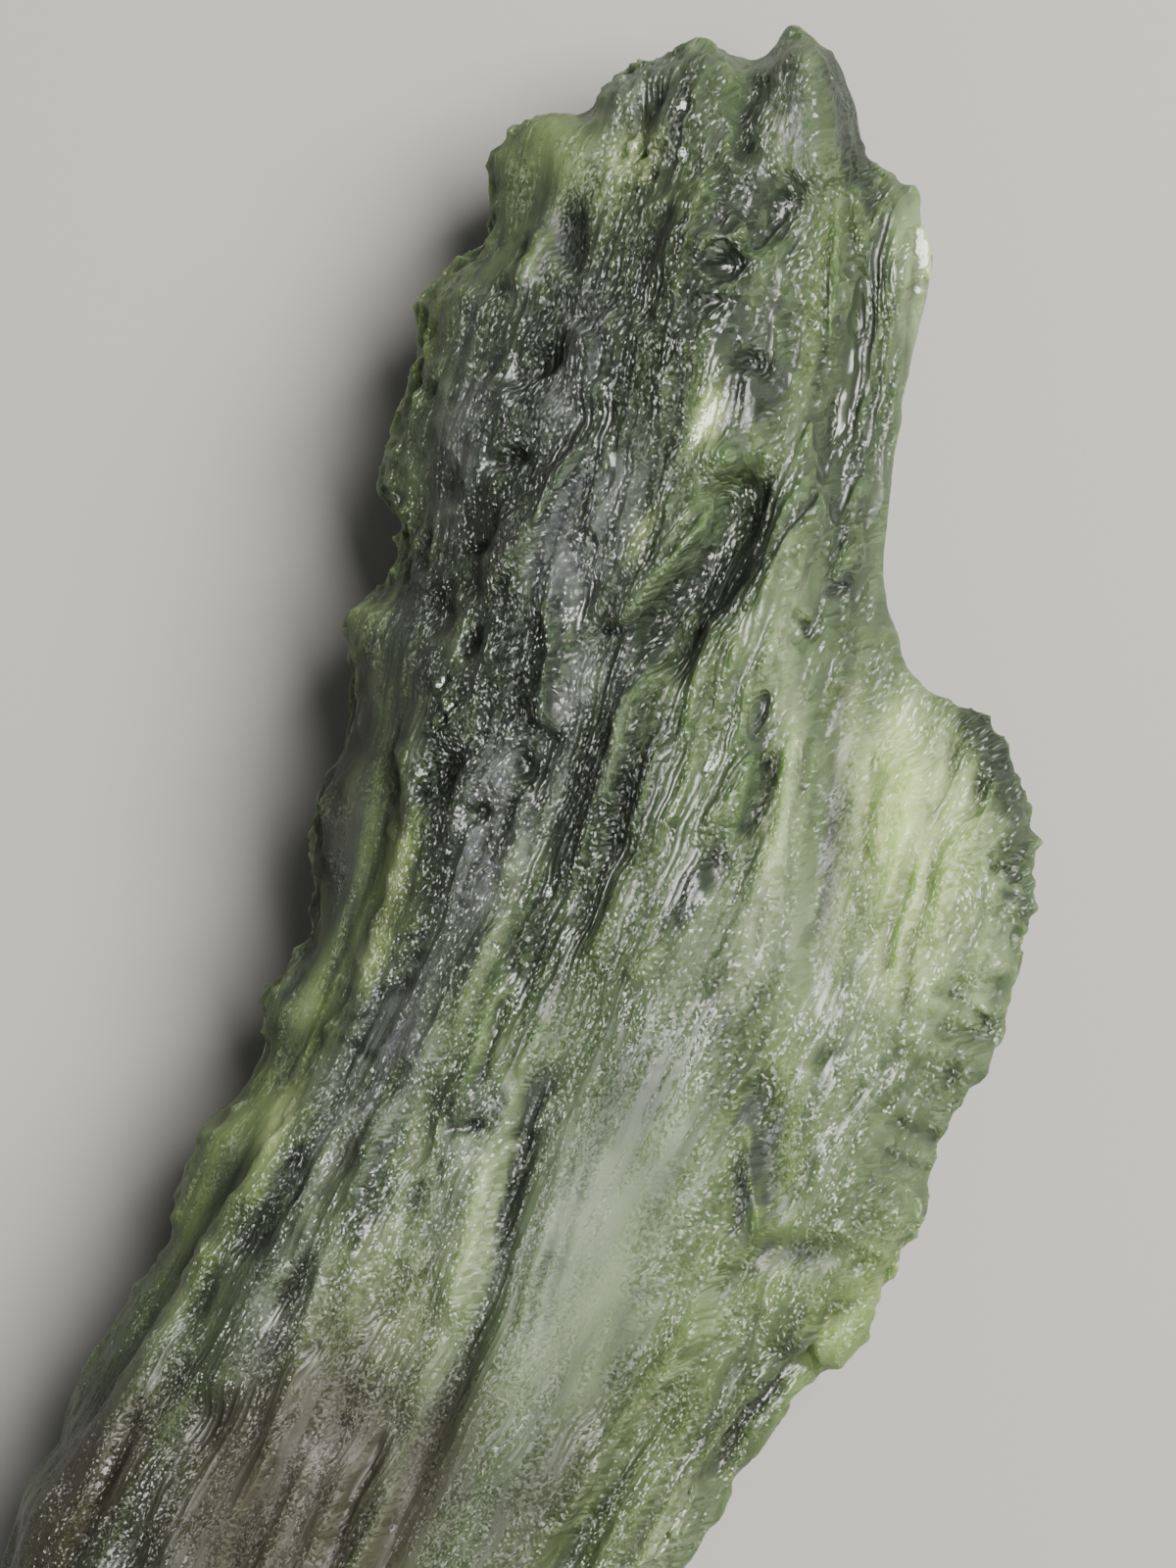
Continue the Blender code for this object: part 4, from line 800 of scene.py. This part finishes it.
def etchingTree():
    tree = bpy.data.node_groups.new("Etched Surface", "GeometryNodeTree")
    tree.interface.new_socket("Geometry", in_out="INPUT", socket_type="NodeSocketGeometry")
    for name, value in etching.items():
        inputSocket(tree, name, value)
    inputSocket(tree, "Glass", None, "NodeSocketMaterial")
    tree.interface.new_socket("Geometry", in_out="OUTPUT", socket_type="NodeSocketGeometry")
    make, math, vector = nodeMaker(tree)
    given = make("NodeGroupInput").outputs

    def named(name):
        node = make("GeometryNodeInputNamedAttribute", {"Name": name}, data_type="FLOAT")
        return node.outputs["Attribute"]

    # places on the surface, bent a little and measured across and along the flow
    position = make("GeometryNodeInputPosition").outputs[0]
    wander = make("ShaderNodeTexNoise", {"Vector": position, "Scale": etchingShares["wander"],
                                         "Detail": etchingShares["wanderDetail"]})
    centred = vector("SUBTRACT", wander.outputs["Color"], (0.5, 0.5, 0.5))
    reach = math("MULTIPLY", given["Warp"], etchingShares["wanderReach"])
    moved = vector("ADD", position, vector("SCALE", centred, reach))
    x, y, z = make("ShaderNodeSeparateXYZ", {0: moved}).outputs
    leaned = math("MULTIPLY_ADD", y, -flow["slope"], x)
    across = math("MULTIPLY_ADD", math("MULTIPLY", y, y), -flow["bend"], leaned)

    # a field of bowls whose brims meet in sharp ribs
    def bowlField(kind, length="Length"):
        width = given[kind + " Width"]
        shift = etchingShares["shifts"][kind]
        place = make("ShaderNodeCombineXYZ", {
            "X": math("DIVIDE", across, width),
            "Y": math("DIVIDE", y, given[kind + " " + length]),
            "Z": math("ADD", math("DIVIDE", z, width), given["Seed"])}).outputs[0]
        place = vector("ADD", place, (shift, shift, shift))
        cells = make("ShaderNodeTexVoronoi", {"Vector": place, "Scale": 1.0})
        height = math("POWER", cells.outputs["Distance"], etchingShares["bowlPower"])
        height = math("SUBTRACT", height, etchingShares["bowlLevel"])
        return math("MULTIPLY", height, given[kind + " Depth"])

    ribbed = named("ribbed")
    pitted = named("pitted")
    coarse = math("ADD", math("MULTIPLY", bowlField("Rib"), ribbed),
                  math("MULTIPLY", bowlField("Pit"), pitted))
    leastPits = etchingShares["leastPits"]
    pitShare = math("MULTIPLY_ADD", pitted, 1.0 - leastPits, leastPits)
    fine = math("ADD", math("MULTIPLY", bowlField("Fine Rib"), ribbed),
                math("MULTIPLY", bowlField("Small Pit", "Width"), pitShare))

    geometry = given["Geometry"]
    for height in (coarse, math("MULTIPLY", fine, named("etched"))):
        normal = make("GeometryNodeInputNormal").outputs[0]
        offset = vector("SCALE", normal, height)
        moved = make("GeometryNodeSetPosition", {"Geometry": geometry, "Offset": offset})
        geometry = moved.outputs[0]
    real = make("GeometryNodeRealizeInstances", {0: geometry}).outputs[0]
    coated = make("GeometryNodeSetMaterial", {"Geometry": real, "Material": given["Glass"]})
    end = make("NodeGroupOutput")
    tree.links.new(coated.outputs[0], end.inputs[0])
    return tree


def etch(piece, glass):
    tree = etchingTree()
    modifier = piece.modifiers.new("Etching", "NODES")
    modifier.node_group = tree
    for item in tree.interface.items_tree:
        if item.item_type == "SOCKET" and item.in_out == "INPUT" and item.name in etching:
            modifier[item.identifier] = etching[item.name]
        if item.item_type == "SOCKET" and item.name == "Glass":
            modifier[item.identifier] = glass
    applyModifiers(piece)


# small flat faces that catch the light: place, half-length, half-width and lean
facets = [
    (3.33, 21.06, 0.42, 0.28, 20), (3.61, 20.22, 0.25, 0.17, 50), (4.61, 22.22, 0.25, 0.25, 0),
    (11.39, 18.56, 0.83, 0.28, 0), (11.22, 17.5, 0.33, 0.17, 10), (5, 13.19, 0.72, 0.25, 30),
    (4.67, 12.56, 0.22, 0.17, 0), (-0.5, 8, 0.22, 0.17, 0), (-2.25, 5.14, 0.22, 0.17, 0),
    (-0.11, 5, 0.22, 0.17, 0), (5.33, 4.22, 0.39, 0.17, 35), (9.56, 18.56, 0.25, 0.14, 0),
    (8.17, 16.25, 0.22, 0.17, 0), (6.92, 23.25, 0.17, 0.11, 0), (4.56, 20.83, 0.22, 0.17, 0),
    (4.56, -16.72, 0.83, 0.17, 30), (4.06, -17.56, 0.39, 0.14, 30),
    (-1.97, 6.39, 0.25, 0.17, 30), (-1.78, 5.78, 0.22, 0.17, 60), (-2.06, 5.33, 0.28, 0.19, 0),
    (1.78, 10.28, 0.22, 0.17, 20), (2.56, 12.83, 0.19, 0.14, 0), (0.94, 0.69, 0.19, 0.14, 0),
    (-0.58, -0.83, 0.25, 0.19, 0),
]

facetLook = {
    "uneven": ((0.35, 0.6), (0.15, 0.4)),  # mm, sizes of the noise in a facet's edge, and shares
    "unevenReach": 2.0,        # in half-sizes, how far out the noise is worked out
    "core": 0.6,               # in half-sizes, the part that gives a facet its height
    "edge": (0.85, 1.15),      # in half-sizes, where the flat part ends
    "glossEdge": (0.8, 1.1),   # and where its gloss ends
    "facing": 0.2,             # how much a surface has to face up to be flattened
}


def facetReach(x, y, facet):
    centreX, centreY, halfLength, halfWidth, lean = facet
    along, across = alongAndAcross(x - centreX, y - centreY, lean)
    reach = np.sqrt((along / halfLength) ** 2 + (across / halfWidth) ** 2)
    near = np.nonzero(reach < facetLook["unevenReach"])[0]
    for size, share in facetLook["uneven"]:
        reach[near] += share * np.array([
            noise.noise((placeX / size, placeY / size, size)) for placeX, placeY
            in zip(x[near], y[near])])
    return reach


# each facet is turned so that it throws the key light into the camera
def flattenFacets(piece):
    mesh = piece.data
    points = readPoints(mesh)
    facing = readNormals(mesh)[:, 2] > facetLook["facing"]
    x, y, z = points.T
    for facet in facets:
        centreX, centreY = facet[:2]
        reach = facetReach(x, y, facet)
        inside = (reach < facetLook["core"]) & facing
        if not inside.any():
            continue
        height = z[inside].mean()
        centre = Vector((centreX, centreY, height)) * millimetre
        toKey = (Vector(studio["keyPlace"]) - centre).normalized()
        toCamera = (Vector(studio["cameraPlace"]) - centre).normalized()
        tilt = (toKey + toCamera).normalized()
        plane = height - (tilt.x * (x - centreX) + tilt.y * (y - centreY)) / tilt.z
        share = (1.0 - smoothStep(*facetLook["edge"], reach)) * facing
        points[:, 2] += share * (plane - z)
    writePoints(mesh, points)


# glass

glassLook = {
    # dark green of thick glass, laid on as painted shade
    "shadeAndDarkGlassColour": (0.014, 0.024, 0.012, 1.0),
    "middleColour": (0.08, 0.12, 0.052, 1.0),
    "oliveColour": (0.15, 0.22, 0.055, 1.0),
    # pale frost, partly the etched glass's own and partly painted sheen
    "frostAndSheenColour": (0.31, 0.375, 0.205, 1.0),
    "glowColour": (0.5, 0.62, 0.26, 1.0),
    # dark brown painted shade, warm as of reflected light
    "brownShadeColour": (0.03, 0.026, 0.01, 1.0),
    # painted silvery sheen, for many small glints
    "silverSheenColour": (0.215, 0.22, 0.235, 1.0),
    "surface": {
        "Metallic": 0.0,
        "Transmission Weight": 0.55,
        "Subsurface Weight": 1.0,
        "Subsurface Radius": (0.0010, 0.0014, 0.0007),
        "Subsurface Scale": 1.0,
        "IOR": 1.49,
    },
    "absorptionColour": (0.4, 0.55, 0.233, 1.0),
    "absorption": 750.0,       # per metre
    "roughness": (0.34, 0.5),  # in the lows and highs of the clusters
    "facetRoughness": 0.2,
    "matt": 0.35,              # roughness that smooth places have on top
    "fibres": 0.15,            # mm, depths of the fine relief
    "fibreSize": (0.17, 3.0),  # mm across and along the flow
    "fewestFibres": 0.15,      # share of the fibres outside the lined zones
    "flakeSize": (0.05, 0.08),  # mm across and along the flow
    "flakeTilt": 3.0,          # how far the flat flakes tilt at random
    "flakeShares": (0.1, 0.38, 0.6, 0.95, 0.45),  # smooth, rough, in zones, in clusters, on ribs
    "fewestFlakes": 0.12,
    "smoothCalm": 0.85,        # how much of the fine relief smooth zones take away
    "smoothFlakes": 0.5,       # how much of the flakes' tilt they take away
    "facetCalm": 0.75,         # how much of the fine relief the flat faces take away
    "streakTone": 0.5,
    "patchTone": 0.4,
    "ribHighlight": 0.12,           # how much lighter the carved ribs are, as painted highlight
    "grooveShade": 0.35,        # how much darker the carved grooves are, as painted shade
    "hollowShadeTone": -1.1,        # how much darker the hollows are than the crests, as painted shade and highlight
    "paleElsewhere": 0.3,      # how far the tone reaches the frost and sheen colour outside its zones
    "deepShade": 0.4,          # how much the painted-shade zones hold back frost and sheen
    "silverSheenTone": (2.0, 0.6),  # how the silver sheen follows the tone, and its middle
    "hollowBlur": (3, 0.6),    # passes, and how far each goes towards the neighbours
    "facing": (-0.1, 0.3),     # how much a surface has to face up for the zones to show
    "clouds": {                # mm, sizes across, along and up, octaves, and shift in the noise
        "patches": ((0.9, 3.0, 0.9), 4.0, 0.0),
        "clusters": ((1.0, 2.0, 1.0), 2.0, 40.0),
    },
    "driftSize": 1.2,          # mm, of the noise that bends the fine relief
    "drift": 0.15,
    "sideLean": (0.7, 0.4),    # how much of the height runs into the two flow directions
}

glassZones = ("smooth", "sparkle", "lined", "frostAndSheen", "shadeAndDarkGlass", "olive", "glow", "brownShade", "silverSheen")


# how far the surface bends at each point, above zero in hollows and below on crests
def hollowness(mesh, points, normals):
    flat = np.empty(len(mesh.edges) * 2, np.int32)
    mesh.edges.foreach_get("vertices", flat)
    start, end = flat.reshape(-1, 2).T
    count = np.bincount(flat, minlength=len(points)).astype(float)
    run = points[end] - points[start]
    length = np.linalg.norm(run, axis=1)
    atStart = (normals[start] * run).sum(axis=1) / length
    atEnd = -(normals[end] * run).sum(axis=1) / length
    bend = np.bincount(start, atStart, len(points)) + np.bincount(end, atEnd, len(points))
    bend /= count
    passes, share = glassLook["hollowBlur"]
    for step in range(passes):
        total = np.bincount(start, bend[end], len(points))
        total += np.bincount(end, bend[start], len(points))
        bend = (1.0 - share) * bend + share * total / count
    return bend


def cloudOf(places, sizes, octaves):
    total = np.zeros(len(places))
    for number, (u, v, w) in enumerate(places / np.array(sizes)):
        total[number] = noise.fractal((u, v, w), 1.0, 2.0, octaves)
    return total


def storeLookMasks(piece):
    mesh = piece.data
    points = readPoints(mesh)
    normals = readNormals(mesh)
    x, y, z = points.T
    face = smoothStep(*glassLook["facing"], normals[:, 2])
    for name in glassZones:
        writeAttribute(mesh, name, face * zoneMask(x, y, name))
    # masks of the carved ribs and grooves and of the hollows, for sparkle and for painted
    # highlight and shade
    carved = np.clip(carvedRise(x, y) / etchingShares["strongRise"], -1.0, 1.0)
    writeAttribute(mesh, "ribs", face * np.maximum(carved, 0.0))
    writeAttribute(mesh, "grooves", face * np.maximum(-carved, 0.0))
    writeAttribute(mesh, "hollow", hollowness(mesh, points, normals))
    flat = np.zeros(len(x))
    for facet in facets:
        gloss = 1.0 - smoothStep(*facetLook["glossEdge"], facetReach(x, y, facet))
        flat = np.maximum(flat, gloss)
    writeAttribute(mesh, "facet", face * flat)
    along = y + (flow["slope"] + 2.0 * flow["bend"] * y) * x
    flowing = np.column_stack([acrossFlow(x, y), along, z])
    for name, (sizes, octaves, shift) in glassLook["clouds"].items():
        writeAttribute(mesh, name, cloudOf(flowing + shift, sizes, octaves))
    drift = np.array([noise.noise_vector(place) for place in points / glassLook["driftSize"]])
    sideways, lengthwise = glassLook["sideLean"]
    place = mesh.attributes.new("flowPlace", "FLOAT_VECTOR", "POINT")
    flowing[:, 0] += sideways * z + glassLook["drift"] * drift[:, 0]
    flowing[:, 1] += lengthwise * z + glassLook["drift"] * drift[:, 1]
    place.data.foreach_set("vector", flowing.astype(np.float32).ravel())


def glassMaterial():
    glass = bpy.data.materials.new("Moldavite glass")
    glass.use_nodes = True
    tree = glass.node_tree
    make, math, vector = nodeMaker(tree)
    surface = tree.nodes["Principled BSDF"]
    output = tree.nodes["Material Output"]

    def attribute(name, output="Fac"):
        return make("ShaderNodeAttribute", attribute_name=name).outputs[output]

    def added(total, name, share):
        return math("MULTIPLY_ADD", attribute(name), share, total)

    def clamped(value):
        return make("ShaderNodeClamp", {0: value}).outputs[0]

    def cells(width, length):
        place = vector("DIVIDE", flowPlace, (width, length, 1.0))
        return make("ShaderNodeTexVoronoi", {"Vector": place, "Scale": 1.0},
                    voronoi_dimensions="2D").outputs

    flowPlace = attribute("flowPlace", "Vector")
    rough = added(1.0, "smooth", -glassLook["smoothCalm"])

    # long fine fibres along the flow
    fewest = glassLook["fewestFibres"]
    lined = added(fewest, "lined", 1.0 - fewest)
    fibreCells = cells(*glassLook["fibreSize"])
    distance = fibreCells["Distance"]
    fibres = math("MULTIPLY", math("MULTIPLY", distance, distance), glassLook["fibres"])
    fibres = math("MULTIPLY", fibres, math("MULTIPLY", lined, rough))
    chance = make("ShaderNodeSeparateColor", {0: fibreCells["Color"]}).outputs[0]
    streak = math("MULTIPLY", math("SUBTRACT", chance, 0.5), rough)

    # flat flakes, each tilted its own way
    across, along = glassLook["flakeSize"]
    flakeCells = cells(across, along)
    tilt = vector("SUBTRACT", flakeCells["Color"], (0.5, 0.5, 0.5))
    middle = vector("MULTIPLY", flakeCells["Position"], (across, along, 1.0))
    flat = vector("MULTIPLY", vector("SUBTRACT", flowPlace, middle), (1.0, 1.0, 0.0))
    flakes = vector("DOT_PRODUCT", flat, tilt, "Value")
    least, most, inZones, inClusters, onRibs = glassLook["flakeShares"]
    sparkle = math("MULTIPLY_ADD", rough, most - least, least)
    for name, share in (("sparkle", inZones), ("clusters", inClusters), ("ribs", onRibs)):
        sparkle = added(sparkle, name, share)
    sparkle = math("MAXIMUM", sparkle, glassLook["fewestFlakes"])
    sparkle = math("MULTIPLY", sparkle, added(1.0, "smooth", -glassLook["smoothFlakes"]))
    sparkle = math("MULTIPLY", math("ADD", sparkle, streak), glassLook["flakeTilt"])
    height = math("MULTIPLY_ADD", flakes, sparkle, fibres)
    height = math("MULTIPLY", height, added(1.0, "facet", -glassLook["facetCalm"]))
    bump = make("ShaderNodeBump", {"Height": height, "Strength": 1.0, "Distance": millimetre})
    tree.links.new(bump.outputs[0], surface.inputs["Normal"])

    clear, matt = glassLook["roughness"]
    spread = added((matt + clear) / 2.0, "clusters", matt - clear)
    spread = added(spread, "smooth", glassLook["matt"])
    gloss = math("SUBTRACT", glassLook["facetRoughness"], spread)
    gloss = math("MULTIPLY", gloss, attribute("facet"))
    tree.links.new(math("ADD", spread, gloss), surface.inputs["Roughness"])

    # the tone runs from painted shade in hollows and grooves to painted highlight on crests and
    # ribs
    crestLightAndHollowShade = math("MULTIPLY", attribute("hollow"), glassLook["hollowShadeTone"])
    tone = math("MULTIPLY_ADD", streak, glassLook["streakTone"],
                math("MULTIPLY", attribute("patches"), glassLook["patchTone"]))
    tone = added(tone, "ribs", glassLook["ribHighlight"])
    tone = added(tone, "grooves", -glassLook["grooveShade"])
    shadeAndDarkGlass = math("SUBTRACT", math("SUBTRACT", attribute("shadeAndDarkGlass"), tone), crestLightAndHollowShade)
    elsewhere = glassLook["paleElsewhere"]
    paleShare = added(elsewhere, "frostAndSheen", 1.0 - elsewhere)
    frostAndSheenShare = math("MULTIPLY_ADD", math("ADD", tone, crestLightAndHollowShade), paleShare, attribute("frostAndSheen"))
    frostAndSheenShare = added(frostAndSheenShare, "shadeAndDarkGlass", -glassLook["deepShade"])
    slope, level = glassLook["silverSheenTone"]
    silverSheen = math("MULTIPLY", attribute("silverSheen"), math("MULTIPLY_ADD", tone, slope, level))
    # on the glass's own middle and olive colours lie painted shade, frost with painted sheen,
    # painted glow of light through thin glass, brown painted shade and silver sheen
    colour = glassLook["middleColour"]
    for share, name in (
            (attribute("olive"), "oliveColour"), (clamped(shadeAndDarkGlass), "shadeAndDarkGlassColour"),
            (clamped(frostAndSheenShare), "frostAndSheenColour"), (attribute("glow"), "glowColour"),
            (attribute("brownShade"), "brownShadeColour"), (clamped(silverSheen), "silverSheenColour")):
        mix = make("ShaderNodeMix", {0: share, 6: colour, 7: glassLook[name]}, data_type="RGBA")
        colour = mix.outputs[2]
    tree.links.new(colour, surface.inputs["Base Color"])

    for name, value in glassLook["surface"].items():
        surface.inputs[name].default_value = value
    depth = make("ShaderNodeVolumeAbsorption", {"Color": glassLook["absorptionColour"],
                                                "Density": glassLook["absorption"]})
    tree.links.new(depth.outputs[0], output.inputs["Volume"])
    return glass


# floor, light and camera, in metres

studio = {
    "floorHalf": 3.0,
    "floorColour": (0.168, 0.167, 0.158, 1.0),
    "floorRoughness": 0.7,
    "floorSpecular": 0.2,
    "worldColour": (0.88, 0.875, 0.86, 1.0),
    "worldStrength": 0.4,
    "keyPlace": (0.22, 0.08, 0.36),
    "keyAim": (0.0, 0.0, 0.004),
    "keySize": 0.3,
    "keyPower": 11.5,
    "keyColour": (1.0, 0.985, 0.945),
    "lens": 85.0,              # mm
    "sensorHeight": 36.0,      # mm
    "clipStart": 0.001,
    "cameraPlace": (0.00198, 0.00361, 0.1096),
}


def makeFloor():
    mesh = bpy.data.meshes.new("floor")
    half = studio["floorHalf"]
    corners = [(-half, -half, 0.0), (half, -half, 0.0), (half, half, 0.0), (-half, half, 0.0)]
    mesh.from_pydata(corners, [], [(0, 1, 2, 3)])
    material = bpy.data.materials.new("Floor")
    material.use_nodes = True
    surface = material.node_tree.nodes["Principled BSDF"]
    surface.inputs["Base Color"].default_value = studio["floorColour"]
    surface.inputs["Roughness"].default_value = studio["floorRoughness"]
    surface.inputs["Specular IOR Level"].default_value = studio["floorSpecular"]
    mesh.materials.append(material)
    floor = bpy.data.objects.new("floor", mesh)
    bpy.context.scene.collection.objects.link(floor)


def makeLights():
    world = bpy.data.worlds.new("World")
    bpy.context.scene.world = world
    world.use_nodes = True
    background = world.node_tree.nodes["Background"]
    background.inputs["Color"].default_value = studio["worldColour"]
    background.inputs["Strength"].default_value = studio["worldStrength"]
    key = bpy.data.lights.new("Key", "AREA")
    key.shape = "SQUARE"
    key.size = studio["keySize"]
    key.energy = studio["keyPower"]
    key.color = studio["keyColour"]
    lamp = bpy.data.objects.new("Key", key)
    bpy.context.scene.collection.objects.link(lamp)
    lamp.location = studio["keyPlace"]
    towards = Vector(studio["keyAim"]) - Vector(studio["keyPlace"])
    lamp.rotation_euler = towards.to_track_quat("-Z", "Y").to_euler()


def makeCamera():
    camera = bpy.data.cameras.new("Camera")
    camera.sensor_fit = "VERTICAL"
    camera.sensor_height = studio["sensorHeight"]
    camera.lens = studio["lens"]
    camera.clip_start = studio["clipStart"]
    rig = bpy.data.objects.new("Camera", camera)
    bpy.context.scene.collection.objects.link(rig)
    rig.location = studio["cameraPlace"]
    rig.rotation_euler = (0.0, 0.0, 0.0)
    bpy.context.scene.camera = rig


# the stone

noise.seed_set(flow["seed"])
glass = glassMaterial()
stone = copyOfNode("moldavite")
makeFine(stone, body["voxel"], body["roundingPasses"])
calm(stone)
print("fine copy", len(stone.data.vertices), "points")
carve(stone)
makeFine(stone, carving["voxel"], carving["rounding"])
print("carved", len(stone.data.vertices), "points")
storeEtchingMasks(stone)
etch(stone, glass)
flattenFacets(stone)
print("etched")
thinOut(stone)
settle(stone)
storeLookMasks(stone)
stone.data.transform(Matrix.Scale(millimetre, 4))
stone.data.calc_loop_triangles()
print("stone", len(stone.data.loop_triangles), "triangles")
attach(stone, "root")
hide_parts("moldavite")

# the stage

makeFloor()
makeLights()
makeCamera()
print("stage ready")
